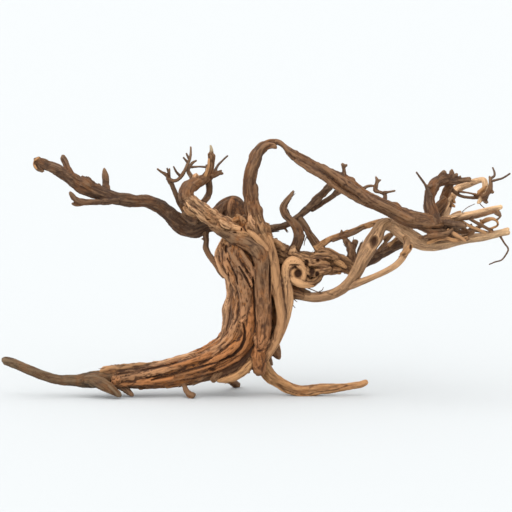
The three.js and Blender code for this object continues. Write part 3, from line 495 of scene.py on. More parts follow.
LEFT_BRANCHES = {
    "left_limb": ("dark", [
        (-60, 30, 430, 19), (-94, 42, 434, 21), (-120, 47, 430, 22.5), (-138, 49, 421, 24),
        (-156, 49, 415, 24.5), (-177, 46, 420, 24), (-200, 38, 439, 22), (-225, 28, 462, 19),
        (-250, 18, 481, 16), (-275, 10, 489, 14.5), (-302, 4, 490, 14.5), (-328, -2, 495, 15.5),
        (-355, -6, 499, 15), (-380, -9, 508, 16), (-403, -12, 518, 18), (-425, -16, 529, 18.5),
        (-445, -19, 540, 17), (-465, -22, 554, 15), (-484, -25, 566, 13.5), (-502, -28, 576, 12.5),
        (-518, -30, 580, 11.5), (-533, -33, 588, 12.5), (-542, -35, 594, 11), (-547, -36, 598, 7),
    ]),
    "left_end": ("dark", [
        (-532, -34, 600, 7), (-543, -35, 590, 8), (-538, -35, 577, 9), (-526, -34, 569, 8),
    ]),
    "left_fork": ("dark", [
        (-326, 0, 494, 8), (-350, -11, 494, 9.5), (-382, -20, 491, 8.5), (-408, -28, 491, 8),
        (-432, -35, 493, 8), (-448, -40, 501, 7), (-456, -43, 512, 5), (-460, -45, 519, 2.5),
    ]),
    "left_fork_toe": ("dark", [(-428, -34, 488, 5), (-446, -38, 486, 4.5), (-456, -40, 490, 3)]),
    "left_spur_a": ("dark", [
        (-462, -22, 560, 11), (-470, -17, 581, 8.5), (-477, -13, 595, 7.5), (-483, -10, 605, 6.5),
    ]),
    "left_rim": ("tan", [
        (-536, -38, 603, 2.5), (-546, -41, 594, 3), (-546, -42, 582, 3), (-540, -42, 573, 2.6),
    ]),
    "left_nub": ("umber", [(-390, -9, 524, 7), (-392, -8, 536, 3.5)]),
    "left_knob": ("dark", [(-414, -14, 528, 17), (-426, -12, 543, 14), (-432, -10, 552, 9.5)]),
    "left_knob_side": ("dark", [(-408, -13, 526, 13), (-414, -12, 540, 9.5), (-417, -12, 553, 5)]),
    "left_spur_b": ("dark", [
        (-375, -6, 512, 12), (-375, 0, 534, 8.5), (-376, 3, 554, 7.5), (-378, 4, 567, 5),
        (-379, 4, 574, 2.5),
    ]),
    "stalk": ("dark", [
        (-150, 46, 418, 11), (-174, 39, 455, 8.5), (-190, 30, 481, 7.5), (-201, 22, 506, 6.5),
        (-211, 14, 530, 6), (-219, 8, 548, 6.5),
    ]),
    "stalk_left": ("dark", [
        (-218, 8, 545, 6), (-225, 3, 557, 4.5), (-235, -3, 564, 3.5), (-246, -10, 573, 2.5),
    ]),
    "stalk_prong_a": ("dark", [(-218, 7, 548, 5.5), (-217, 5, 562, 4), (-215, 5, 573, 2.5)]),
    "stalk_right": ("dark", [
        (-218, 6, 546, 6), (-206, 2, 542, 5.5), (-195, -2, 545, 5.5), (-184, -2, 557, 5),
        (-175, 0, 573, 4.5), (-168, 4, 588, 4.5), (-164, 8, 600, 3.5), (-163, 11, 614, 3),
        (-163, 13, 628, 2.3),
    ]),
    "cross_stalk": ("dark", [
        (-150, -12, 533, 8), (-161, 0, 553, 6), (-169, 6, 568, 4.8), (-160, 12, 584, 3.8),
        (-147, 16, 592, 2.3),
    ]),
    "elbow": ("flaky", [
        (-16, 2, 402, 26), (-48, -16, 416, 22), (-78, -32, 434, 21), (-105, -42, 451, 20.5),
        (-132, -48, 470, 20.5), (-157, -48, 490, 19.5), (-171, -42, 506, 16), (-169, -33, 518, 9),
    ]),
    "elbow_top": ("umber", [
        (-160, -46, 492, 12), (-171, -42, 508, 18.5), (-167, -32, 526, 18), (-152, -20, 537, 15.5),
        (-138, -12, 543, 13.5), (-125, -4, 552, 12), (-115, 0, 570, 9.5), (-111, 2, 590, 7.5),
        (-111, 2, 604, 9), (-112, 2, 611, 8.5),
    ]),
    "elbow_lump": ("dark", [(-178, -46, 494, 8), (-183, -44, 508, 9), (-180, -40, 522, 8)]),
    "elbow_ridge": ("flaky", [
        (-172, -58, 494, 2.5), (-158, -65, 478, 6), (-134, -64, 459, 6.5), (-108, -58, 440, 6.5),
        (-84, -50, 428, 6), (-60, -38, 416, 4),
    ]),
    "elbow_flake": ("rose", [
        (-150, -58, 498, 2.5), (-128, -52, 486, 6), (-104, -46, 466, 6), (-84, -38, 452, 2.5),
    ]),
    "spike_tip": ("bone", [
        (-112, 2, 604, 6), (-111, 2, 616, 4.8), (-112, 2, 624, 3.8), (-114, 2, 632, 2.4),
    ]),
    "elbow_side": ("tan", [
        (-134, -12, 540, 5), (-125, -13, 558, 4.5), (-119, -9, 578, 3.5), (-117, -5, 598, 3),
    ]),
    "elbow_root": ("dark", [(-182, 10, 462, 9), (-164, 12, 448, 12), (-140, 8, 440, 13)]),
    "elbow_crust_a": ("burl", [(-178, -52, 482, 4), (-164, -64, 468, 6), (-150, -66, 460, 4)]),
    "elbow_crust_b": ("burl", [(-138, -60, 470, 4), (-118, -66, 456, 6.5), (-98, -62, 440, 4)]),
    "elbow_crust_c": ("flaky", [(-96, -54, 452, 4), (-78, -62, 438, 7), (-62, -60, 430, 5)]),
    "elbow_loop": ("dark", [
        (-120, 0, 548, 9), (-116, 9, 520, 8.5), (-120, 8, 501, 8.5), (-134, -10, 486, 8),
        (-150, -36, 482, 9),
    ]),
    "elbow_knob": ("rose", [(-152, -20, 538, 10), (-150, -17, 551, 9), (-147, -15, 562, 7)]),
    "elbow_stub": ("dark", [
        (-116, -1, 552, 11), (-101, 8, 558, 8.5), (-89, 14, 559, 5), (-81, 18, 557, 3),
    ]),
    "elbow_stub_side": ("dark", [(-96, 10, 560, 5.5), (-85, 14, 567, 2.6)]),
    "elbow_nub": ("dark", [(-118, -1, 562, 8), (-122, 4, 577, 5), (-124, 6, 582, 3)]),
}

# The thinnest twigs and the hairs of loose bark, each a run of points as above.
THIN_TWIGS = {
    "hair_twig": [
        (608, 1, 406, 3.2), (619, -5, 387, 2.3), (629, -10, 371, 2.3), (622, -14, 357, 2.2),
        (612, -16, 345, 2), (595, -18, 340, 1.9), (580, -20, 334, 1.6),
    ],
    "whip_fork_a": [(583, -6, 547, 3.8), (594, 0, 554, 3.2), (595, 5, 562, 2.8), (591, 10, 574, 2.2)],
    "whip_fork_b": [(584, -8, 541, 3.8), (598, -14, 545, 3), (612, -20, 550, 2.6), (629, -28, 562, 2.2)],
    "long_twig": [
        (433, -26, 504, 6), (424, -34, 521, 4), (418, -38, 535, 3.2), (406, -44, 552, 2.8),
        (395, -50, 567, 2.2),
    ],
    "elbow_twig": [(-104, 8, 562, 4.5), (-95, 14, 579, 3), (-82, 20, 592, 2.6), (-71, 26, 602, 2.2)],
    "cross_bar": [(-164, 8, 575, 3.5), (-142, 10, 576, 2.4), (-121, 7, 575, 3)],
    "net_spur": [(532, 19, 412, 4.5), (541, 21, 424, 3.8), (539, 21, 431, 2.6)],
    "stalk_thorn_a": [(-171, 3, 588, 3.5), (-181, -1, 600, 2.2)],
    "stalk_thorn_b": [(-167, 6, 596, 3.5), (-174, 8, 610, 2.2)],
    "stalk_thorn_c": [(-188, -2, 553, 4), (-198, -6, 564, 3), (-205, -10, 578, 2)],
    "stalk_prong_b": [(-217, 5, 560, 3.5), (-222, 4, 573, 2.2)],
    "ring_tip": [(600, 2, 442, 3), (610, 0, 451, 2)],
    "burl_hair_a": [(118, -20, 279, 1.8), (138, -26, 272, 1.5), (154, -30, 266, 1.3), (167, -30, 263, 1)],
    "burl_hair_b": [(156, -30, 266, 1.4), (165, -30, 271, 1.2), (168, -30, 278, 1)],
    "burl_hair_c": [(88, -18, 254, 1.6), (95, -22, 246, 1.3), (103, -24, 240, 0.9)],
    "burl_hair_d": [(94, -18, 254, 1.5), (104, -20, 249, 1.2), (112, -20, 247, 0.9)],
    "arch_hair": [(54, 20, 424, 1.4), (68, 18, 434, 1.2), (88, 14, 437, 0.9)],
    "right_hair_a": [(504, -28, 458, 1.2), (522, -22, 475, 1), (544, -14, 485, 0.8)],
    "right_hair_b": [(556, 0, 488, 1.5), (564, -6, 478, 1.3), (574, -14, 471, 1)],
    "flank_hair": [(82, -24, 240, 1.5), (92, -26, 232, 1.2), (98, -26, 225, 0.9)],
    "shoulder_hair": [(128, 16, 402, 1.5), (122, 2, 390, 1.2), (120, -6, 380, 0.9)],
}

# Knot holes and pits in the front: middle, half their width and height, and how deep they go. The material
# paints them dark, as painted shade, and the one below the broken strand's end stands for the shadow under
# it.
PITS = [
    (293, -60, 394, 19, 29, 20), (105, -50, 314, 13, 15, 13), (96, -50, 336, 16, 2.5, 6),
    (140, -38, 318, 10, 15, 14), (126, -38, 340, 7, 11, 11), (152, -40, 312, 7, 9, 12),
    (154, -42, 346, 6, 5, 8), (172, -40, 349, 5, 4, 8), (380, -68, 384, 4, 9, 8), (452, -34, 404, 7, 7, 8),
    (-36, -56, 424, 3, 7, 8), (-52, -56, 418, 8, 2.5, 7), (-80, -60, 430, 9, 2.5, 6),
    (-118, -66, 452, 9, 2.5, 6), (-158, -74, 482, 2.5, 4, 6), (-164, -74, 494, 3, 3, 6),
    (-544, -46, 590, 6, 10, 7), (-110, -54, 72, 15, 8, 12), (-349, -62, 46, 4, 4, 5),
    (34, -56, 296, 3.5, 60, 13), (43, -54, 192, 3.5, 50, 14), (20, -52, 352, 3, 30, 6),
    (10, -60, 121, 14, 4.5, 8), (-74, -34, 374, 6, 14, 12),
]

# Long cracks: how deep each is, and its run of (x, y, z, half width) points. The material paints them dark,
# as painted shade.
CRACKS = [
    (13, [
        (-32, -56, 190, 3), (-28, -56, 168, 5), (-29, -55, 148, 5), (-38, -54, 128, 5),
        (-58, -52, 108, 4.5), (-92, -48, 94, 3),
    ]),
    (9, [(-42, -64, 334, 2), (-32, -66, 318, 3.5), (-22, -66, 300, 4), (-14, -62, 282, 2)]),
    (8, [(-72, -46, 352, 2), (-60, -56, 330, 3), (-50, -60, 310, 3), (-46, -60, 290, 2)]),
    (8, [(-9, -56, 344, 2), (-7, -56, 300, 3), (-5, -56, 256, 3), (-2, -56, 200, 3), (-4, -56, 166, 2)]),
    (9, [
        (-70, -28, 326, 2), (-66, -30, 290, 3), (-64, -30, 250, 3.5), (-66, -30, 205, 3),
        (-74, -30, 168, 2),
    ]),
    (8, [(-96, -50, 92, 3), (-150, -50, 76, 3.5), (-210, -48, 58, 3.5), (-262, -44, 46, 2)]),
    (7, [(-150, -40, 104, 2), (-215, -44, 84, 3), (-290, -42, 68, 3), (-350, -40, 58, 2)]),
]

# Further from the trunk the limbs spread, front to back, and droop a little.
SPREAD = 0.9
SPREAD_FROM = 90
SPREAD_OVER = 240
SPREAD_FLOOR = 120
CROWN_HEIGHT = 400
DROOP = 0.11
BACK_SHIFT = 3

SEED = 11
rng = np.random.default_rng(SEED)
NOISE_CELLS = 64
NOISE_GRID = rng.uniform(-1, 1, (NOISE_CELLS, NOISE_CELLS, NOISE_CELLS)).astype(np.float32)
SALT_SHIFT = 7.13
PER_SPAN = 20
TWIG_PER_SPAN = 6


def eased(share):
    return share * share * (3 - 2 * share)


def smoothstep(value, low, high):
    return eased(np.clip((value - low) / (high - low), 0, 1))


def noise(points, salt):
    """Smooth noise from -1 to 1: a value at each corner of a unit grid, blended between them.

    Each salt gives a noise of its own.
    """
    points = points + SALT_SHIFT * salt
    cell = np.floor(points).astype(np.int64)
    part = eased((points - cell).astype(np.float32))
    total = 0
    for corner in np.ndindex(2, 2, 2):
        at = (cell + corner) % NOISE_CELLS
        share = np.prod(np.where(corner, part, 1 - part), axis=-1)
        total = total + share * NOISE_GRID[at[..., 0], at[..., 1], at[..., 2]]
    return total


def placed(points):
    """The limb's points once the limbs have spread."""
    points = np.array(points, float)
    x, y, z = points[:, 0], points[:, 1], points[:, 2]
    reach = np.hypot(x, np.maximum(0, z - CROWN_HEIGHT))
    away = smoothstep(reach, SPREAD_FROM, SPREAD_FROM + SPREAD_OVER)
    away = away * smoothstep(z, SPREAD_FLOOR, 2 * SPREAD_FLOOR)
    deeper = SPREAD * away * y
    points[:, 1] += deeper + BACK_SHIFT
    points[:, 2] -= DROOP * deeper
    return points


def curve_through(points, per_span=PER_SPAN):
    """Dense (x, y, z, radius) rows on a smooth curve through the points, so many from each to the next."""
    xyz = np.vstack([2 * points[0, :3] - points[1, :3], points[:, :3], 2 * points[-1, :3] - points[-2, :3]])
    knots = np.concatenate([[0], np.cumsum(np.sqrt(np.linalg.norm(np.diff(xyz, axis=0), axis=1)))])
    rows = []
    for i in range(1, len(xyz) - 2):
        p, k = xyz[i - 1 : i + 3], knots[i - 1 : i + 3]
        share = np.linspace(0, 1, per_span, endpoint=i == len(xyz) - 3)[:, None]
        t = k[1] + share * (k[2] - k[1])

        def blend(a, b, low, high):
            return ((k[high] - t) * a + (t - k[low]) * b) / (k[high] - k[low])

        a, b, c = blend(p[0], p[1], 0, 1), blend(p[1], p[2], 1, 2), blend(p[2], p[3], 2, 3)
        middle = blend(blend(a, b, 0, 2), blend(b, c, 1, 3), 1, 2)
        taper = eased(share) * 0.5 + share * 0.5
        rows.append(np.hstack([middle, points[i - 1, 3] * (1 - taper) + points[i, 3] * taper]))
    return np.vstack(rows)


def distance_along(rows):
    """How far each row's point lies from the first, along the run."""
    return np.concatenate([[0], np.cumsum(np.linalg.norm(np.diff(rows[:, :3], axis=0), axis=1))])


def rows_at(places, known_places, rows):
    """Rows read off between the known ones."""
    return np.stack([np.interp(places, known_places, column) for column in rows.T], axis=1)


def unit(vectors):
    return vectors / np.linalg.norm(vectors, axis=1)[:, None]


# A limb's middle line in millimetres: points, directions along and across it, distance travelled, radius.
Line = namedtuple("Line", "finish middle along across upward travel radius")
RING_STEP = 2.6
FEWEST_RINGS = 4
FIRST_ACROSS = np.array([0.13, 0.98, 0.11])


def middle_line(finish, points):
    """The evenly spaced middle line of a limb, with directions that don't twist round it."""
    dense = curve_through(points)
    travel = distance_along(dense)
    even = np.linspace(0, travel[-1], max(FEWEST_RINGS, int(travel[-1] / RING_STEP) + 1))
    rows = rows_at(even, travel, dense)
    middle, radius = rows[:, :3], rows[:, 3]
    along = unit(np.gradient(middle, axis=0))
    across = np.empty_like(along)
    last = FIRST_ACROSS
    for i, way in enumerate(along):
        last = last - way * (last @ way)
        last /= np.linalg.norm(last)
        across[i] = last
    return Line(finish, middle, along, across, np.cross(along, across), even, radius)


# How a limb's surface departs from a plain tube. Swellings, lumps and lobes are in radii, the twist is in
# radians a millimetre, the sway in radians, and knots are in millimetres. A limb's seed moves its noise
# along by SEED_TRAVEL millimetres and turns its strands by SEED_TURN radians.
SWELLING = 0.11
LUMPS = 0.07
SMALL_LUMPS = 0.06
LUMP_GIRTH = 0.9
LEAST_ROUGH = 0.4
TWIST = 0.006
SWAY = 0.9
LOBE_SHARPNESS = 0.7
LOBE_MEAN = 0.74
BROAD_RIDGE, BROAD_RIDGE_MEAN = 2.2, 0.75
THIN_RIDGE, THIN_RIDGE_MEAN = 0.9, 0.3
RIDGE_PATCHES = 0.8
FULL_RELIEF_RADIUS = 12
SEED_TRAVEL = 41
SEED_TURN = 1.7
KNOT_START = 0.4
KNOT_HEIGHT = 11


def limb_reach(line, angle, seed):
    """How far a limb's surface stands from its middle line: strands, grooves, ridges and swellings."""
    finish = FINISHES[line.finish]
    travel, radius = line.travel[:, None], line.radius[:, None]
    u, v = np.cos(angle)[None, :], np.sin(angle)[None, :]
    ones = np.ones((len(line.travel), len(angle)))
    along = travel * ones + SEED_TRAVEL * seed

    def field(stretch, width, salt):
        """Noise by the millimetre: its length along the limb and its width round it."""
        across, upward = radius * u / width * ones, radius * v / width * ones
        return noise(np.stack([along / stretch, across, upward], -1), salt)

    def lump(stretch, salt):
        """Noise that goes round the limb in the same few steps whatever its girth."""
        return noise(np.stack([along / stretch, LUMP_GIRTH * u * ones, LUMP_GIRTH * v * ones], -1), salt)

    rough = LEAST_ROUGH + finish.bark
    shape = 1 + SWELLING * field(64, 18, 1) + LUMPS * rough * lump(27, 2) + SMALL_LUMPS * rough * lump(12, 7)
    turn = angle[None, :] + TWIST * travel * math.sin(seed) + SWAY * field(90, 30, 3) + SEED_TURN * seed
    lobe = np.abs(np.sin(finish.strands * turn / 2)) ** LOBE_SHARPNESS
    shape = shape + finish.groove * (lobe - LOBE_MEAN)
    ridge = BROAD_RIDGE * np.abs(field(55, 8, 4)) - BROAD_RIDGE_MEAN
    ridge = ridge + THIN_RIDGE * np.abs(field(38, 3.8, 14)) - THIN_RIDGE_MEAN
    patchy = RIDGE_PATCHES + RIDGE_PATCHES * field(90, 26, 15)
    size = np.minimum(1, radius / FULL_RELIEF_RADIUS) * patchy
    reach = radius * shape + finish.ridge * size * ridge
    return reach + np.maximum(0, field(20, 13, 5) - KNOT_START) * finish.bark * KNOT_HEIGHT * size


def tube_faces(rings, sides):
    """Quads between a tube's rings, and triangles from each end ring to a middle point of its own."""
    ring, side = np.meshgrid(np.arange(rings - 1), np.arange(sides), indexing="ij")
    a, b = ring * sides + side, ring * sides + (side + 1) % sides
    quads = np.stack([a, b, b + sides, a + sides], -1).reshape(-1, 4)
    k = np.arange(sides)
    last = (rings - 1) * sides
    start = np.stack([np.full(sides, rings * sides), (k + 1) % sides, k], -1)
    end = np.stack([np.full(sides, rings * sides + 1), last + k, last + (k + 1) % sides], -1)
    return quads, np.vstack([start, end])


# A tube's sides are so many millimetres wide. Its tip rounds off over a share of its last radius, and is
# ragged over three times that.
SIDE_WIDTH = 2.4
FEWEST_SIDES, MOST_SIDES = 10, 130
TIP_LENGTH = 0.55
TIP_CLOSING = 0.2
TIP_RAGS = 0.7
RAG_GIRTH = 1.3
RAGGED_LENGTH = 3


def limb_tube(line, seed):
    """A closed tube round a limb's middle line, with a worn, slightly ragged tip."""
    sides = int(np.clip(2 * math.pi * line.radius.max() / SIDE_WIDTH, FEWEST_SIDES, MOST_SIDES))
    angle = np.linspace(0, 2 * math.pi, sides, endpoint=False)
    reach = limb_reach(line, angle, seed)
    left = line.travel[-1] - line.travel
    blunt = TIP_LENGTH * line.radius[-1]
    reach *= np.sqrt(np.clip(1 - np.clip(1 - left / blunt, 0, 1) ** 2, TIP_CLOSING, 1))[:, None]
    round_tip = [RAG_GIRTH * np.cos(angle), RAG_GIRTH * np.sin(angle), 0 * angle + seed]
    ragged = noise(np.stack(round_tip, -1), 6)
    near_tip = (np.clip(1 - left / (RAGGED_LENGTH * blunt), 0, 1) ** 2)[:, None]
    pull = near_tip * ragged[None, :] * TIP_RAGS * line.radius[-1]
    rim = (
        line.middle[:, None]
        + reach[..., None] * np.cos(angle)[None, :, None] * line.across[:, None]
        + reach[..., None] * np.sin(angle)[None, :, None] * line.upward[:, None]
        + pull[..., None] * line.along[:, None]
    )
    corners = np.vstack([rim.reshape(-1, 3), line.middle[:1], line.middle[-1:]])
    return corners, *tube_faces(len(line.travel), sides)


# Thin strands that wander over the trunk's heart, front and back: how many there are, between which angles,
# and between which heights and radii.
WanderingStrands = namedtuple("WanderingStrands", "count low high lift radius")
WANDERING_STRANDS = (
    WanderingStrands(4, -2.8, -0.4, (0, 6), (6, 10)),
    WanderingStrands(20, 0.1, 3.05, (1, 7), (6, 11)),
)
WANDER_START, WANDER_END, WANDER_SWING = (0.02, 0.35), (0.55, 0.95), (-0.45, 0.45)
WANDER_SHRINK = 0.45
# Fewer, broader strands that carry the back: angle round the heart, radius, where they start and end, swing.
BACK_STRANDS = (
    (0.45, 16, 0.04, 0.66, 0.3),
    (1.15, 18, 0.03, 0.96, -0.25),
    (1.85, 18, 0.03, 0.9, 0.25),
    (2.55, 16, 0.05, 0.6, -0.25),
)
BACK_LIFT = -3
BACK_SHRINK = 0.35
STRAND_POINTS = 14
SWING_SPAN, SWING_START = 1.6, 0.2
BACKWARD = np.array([0.0, 1.0, 0.0])


def strand_on_heart(angle, swing, start, end, lift, radius, shrink):
    """A strand's points: it follows the heart at an angle measured from +X round to +Y."""
    dense = curve_through(np.array(HEART, float))
    travel = distance_along(dense)
    share = np.linspace(0, 1, STRAND_POINTS)
    rows = rows_at((start + share * (end - start)) * travel[-1], travel, dense)
    middle, girth = rows[:, :3], rows[:, 3]
    along = unit(np.gradient(middle, axis=0))
    back = unit(BACKWARD - along * along[:, 1:2])
    side = np.cross(back, along)
    turn = angle + swing * np.sin(math.pi * (SWING_SPAN * share + SWING_START))
    reach = girth + lift
    points = middle - side * (reach * np.cos(turn))[:, None] + back * (reach * np.sin(turn))[:, None]
    return np.hstack([points, (radius * (1 - shrink * share))[:, None]])


def trunk_strands():
    """Every strand that is laid by rule: the broad ones behind, then the thin ones all round."""
    strands = []
    for angle, radius, start, end, swing in BACK_STRANDS:
        strands.append(("umber", strand_on_heart(angle, swing, start, end, BACK_LIFT, radius, BACK_SHRINK)))
    for kind in WANDERING_STRANDS:
        for angle in np.linspace(kind.low, kind.high, kind.count):
            start, end = rng.uniform(*WANDER_START), rng.uniform(*WANDER_END)
            swing = rng.uniform(*WANDER_SWING)
            lift, radius = rng.uniform(*kind.lift), rng.uniform(*kind.radius)
            strands.append(("red", strand_on_heart(angle, swing, start, end, lift, radius, WANDER_SHRINK)))
    return strands


def fused(name, lines, voxel):
    """One closed mesh of all the tubes, in millimetres."""
    corners, quads, triangles, count = [], [], [], 0
    for seed, line in enumerate(lines):
        own_corners, own_quads, own_triangles = limb_tube(line, seed)
        corners += own_corners.tolist()
        quads += (own_quads + count).tolist()
        triangles += (own_triangles + count).tolist()
        count += len(own_corners)
    mesh = bpy.data.meshes.new(name)
    mesh.from_pydata(corners, [], quads + triangles)
    rough = in_scene(name, mesh)
    remesh = rough.modifiers.new("fuse", "REMESH")
    remesh.mode = "VOXEL"
    remesh.voxel_size = voxel
    remesh.adaptivity = 0
    evaluated = rough.evaluated_get(bpy.context.evaluated_depsgraph_get())
    whole = bpy.data.meshes.new_from_object(evaluated)
    bpy.data.objects.remove(rough)
    bpy.data.meshes.remove(mesh)
    return whole


def array_of(items, field, width, kind):
    """One value, or a row of them, for each item of a mesh."""
    flat = np.empty(len(items) * width, kind)
    items.foreach_get(field, flat)
    return flat.reshape(-1, width) if width > 1 else flat


RELAX_ROUNDS = 2
RELAX_SHARES = (0.5, -0.52)


class Skin:
    """A mesh's points, edges and faces as arrays."""

    def __init__(self, mesh):
        self.mesh = mesh
        self.points = array_of(mesh.vertices, "co", 3, np.float32).astype(float)
        self.ends = array_of(mesh.edges, "vertices", 2, np.int32)
        self.degree = np.bincount(self.ends.ravel(), minlength=len(self.points))[:, None]
        self.corner = array_of(mesh.loops, "vertex_index", 1, np.int32)
        sizes = array_of(mesh.polygons, "loop_total", 1, np.int32)
        self.face_of_corner = np.repeat(np.arange(len(sizes)), sizes)
        self.first_corner = np.concatenate([[0], np.cumsum(sizes)[:-1]])

    def around(self, values):
        """The mean of each point's neighbours."""
        count = len(self.points)
        a, b = self.ends.T
        columns = values.reshape(count, -1).T
        totals = [np.bincount(a, column[b], count) + np.bincount(b, column[a], count) for column in columns]
        return np.stack(totals, 1) / np.maximum(1, self.degree)

    def smoothed(self, values, rounds, share=0.5):
        values = values.reshape(len(self.points), -1).astype(float)
        for _ in range(rounds):
            values = values + share * (self.around(values) - values)
        return values

    def relax(self):
        """Takes the steps out of the surface without shrinking it."""
        for share in RELAX_SHARES * RELAX_ROUNDS:
            self.points = self.points + share * (self.around(self.points) - self.points)

    def write_points(self, scale=1.0):
        self.mesh.vertices.foreach_set("co", (self.points * scale).astype(np.float32).ravel())
        self.mesh.update()

    def normals(self):
        self.write_points()
        return array_of(self.mesh.vertex_normals, "vector", 3, np.float32).astype(float)


Samples = namedtuple("Samples", "limb middle along across upward travel radius share")
SAMPLE_EVERY = 2
TRAVEL_SHIFT = 370.0


def samples_of(lines):
    """The lines' points in one set of arrays, each with the number of its limb."""
    columns = [[] for _ in Samples._fields]
    for limb, line in enumerate(lines):
        middle, along, across, upward, travel, radius = (values[::SAMPLE_EVERY] for values in line[1:])
        own = (
            np.full(len(travel), limb), middle, along, across, upward, travel + TRAVEL_SHIFT * limb, radius,
            travel / line.travel[-1],
        )
        for column, values in zip(columns, own):
            column.append(values)
    return Samples(*(np.concatenate(column) for column in columns))


def nearest_sample(points, samples, batch=6000):
    """For each point, the sample whose surface is nearest."""
    middle, radius = samples.middle.astype(np.float32), samples.radius.astype(np.float32)
    square = (middle**2).sum(1)
    found = np.empty(len(points), np.int64)
    for start in range(0, len(points), batch):
        some = points[start : start + batch].astype(np.float32)
        gap = (some**2).sum(1)[:, None] + square - 2 * some @ middle.T
        found[start : start + batch] = np.argmin(np.sqrt(np.maximum(gap, 0)) - radius, axis=1)
    return found


def grain_at(points, samples, index):
    """Each point's place in its limb's own straightened wood: along the grain, then across it twice."""
    away = points - samples.middle[index]
    travel = samples.travel[index] + (away * samples.along[index]).sum(1)
    return np.stack([travel, (away * samples.across[index]).sum(1), (away * samples.upward[index]).sum(1)], 1)


def corner_grain(skin, samples, index, grain):
    """The grain place of each face corner, taken from one limb over the whole face."""
    limb = samples.limb[index]
    face_limb = limb[skin.corner[skin.first_corner]]
    wanted = face_limb[skin.face_of_corner]
    result = grain[skin.corner].copy()
    odd = np.nonzero(limb[skin.corner] != wanted)[0]
    for one in np.unique(wanted[odd]):
        corners = odd[wanted[odd] == one]
        own = np.nonzero(samples.limb == one)[0]
        part = Samples(*(column[own] for column in samples))
        points = skin.points[skin.corner[corners]]
        result[corners] = grain_at(points, part, nearest_sample(points, part))
    return result


def linear(colour):
    colour = np.asarray(colour, float)
    return np.where(colour <= 0.04045, colour / 12.92, ((colour + 0.055) / 1.055) ** 2.4)


def attribute(mesh, name, kind, values, domain="POINT"):
    layer = mesh.attributes.new(name, kind, domain)
    field = {"FLOAT": "value", "FLOAT_VECTOR": "vector", "FLOAT_COLOR": "color"}[kind]
    layer.data.foreach_set(field, np.ascontiguousarray(values, np.float32).ravel())


# The worn surface, in millimetres: fibres, cracks, plates and crumbs of bark. Fibres and cracks keep a
# part of their depth where the wood has no bark.
FIBRE_DEPTH = 0.6
CRACK_DEPTH = 2.2
CRACK_WIDTH = 0.075
BARE_FIBRES, BARE_CRACKS = 0.6, 0.25
PLATE_HEIGHT = 1.7
CRUMB_HEIGHT = 1.8
CRUMBLY_BARK = (0.55, 0.85)
FULL_WEAR_RADIUS = 9
PITS_PER_RUN = 32
CRACK_STRETCH = 1.3
PIT_REACH = 1.6
PIT_RIM, PIT_FLOOR = -1.0, -0.4
GRAIN_UNIT = 10  # millimetres in one unit of the grain attribute


def weathered(skin, samples, index, grain, bark):
    """Raises fibres and opens cracks along the grain."""
    size = np.minimum(1, samples.radius[index] / FULL_WEAR_RADIUS)

    def field(stretch, width, salt):
        return noise(grain / (stretch, width, width), salt)

    crumbs = CRUMB_HEIGHT * size * smoothstep(bark, *CRUMBLY_BARK) * field(9, 6, 17)
    fibres = 1 - 2 * np.abs(field(34, 4.6, 8))
    open_crack = np.exp(-((field(75, 9, 9) / CRACK_WIDTH) ** 2)) * smoothstep(field(40, 40, 10), -0.3, 0.5)
    plates = smoothstep(field(24, 8, 12), 0.02, 0.2)
    lift = FIBRE_DEPTH * size * (BARE_FIBRES + bark) * fibres
    lift = lift - CRACK_DEPTH * size * (BARE_CRACKS + bark) * open_crack
    lift = lift + PLATE_HEIGHT * size * bark * (plates - 0.5) + crumbs
    skin.points = skin.points + skin.normals() * lift[:, None]
    return open_crack


def crack_pits():
    """The long cracks, each as a chain of small pits that run into one another."""
    for deep, points in CRACKS:
        ends = np.arange(len(points))
        steps = np.linspace(0, ends[-1], PITS_PER_RUN * ends[-1] + 1)
        for x, y, z, wide in rows_at(steps, ends, np.array(points, float)):
            yield x, y, z, wide, CRACK_STRETCH * wide, deep


def pitted(skin):
    """Sinks the knot holes, pits and long cracks, and returns how far inside one each point is."""
    inside = np.zeros(len(skin.points))
    sunk = np.zeros(len(skin.points))
    for x, y, z, wide, tall, deep in [*PITS, *crack_pits()]:
        middle = placed([(x, y, z)])[0]
        near = np.flatnonzero(np.abs(skin.points[:, 0] - middle[0]) < wide)
        away = (skin.points[near] - middle) / (wide, PIT_REACH * deep, tall)
        depth = smoothstep(-np.linalg.norm(away, axis=1), PIT_RIM, PIT_FLOOR)
        sunk[near] = np.maximum(sunk[near], deep * depth)
        inside[near] = np.maximum(inside[near], depth)
    skin.points[:, 1] += sunk
    return inside


# How many rounds of smoothing blend bark and tone from limb to limb, and the two scales of relief: rounds of
# smoothing, and the height in millimetres that counts as full.
BARK_ROUNDS = 6
TONE_ROUNDS = 8
RELIEFS = {"relief": (26, 2.2), "fine_relief": (4, 0.5)}


def tones(skin, finishes, samples, index):
    """Each point's colour, which turns to the colour of its limb's thin end."""
    limb = samples.limb[index]
    colours = np.array([linear(finish.colour) for finish in finishes])[limb]
    tips = np.array([linear(finish.tip) for finish in finishes])[limb]
    share = samples.share[index][:, None] ** 3
    tone = skin.smoothed(colours * (1 - share) + tips * share, TONE_ROUNDS)
    return np.hstack([tone, np.ones((len(tone), 1))])


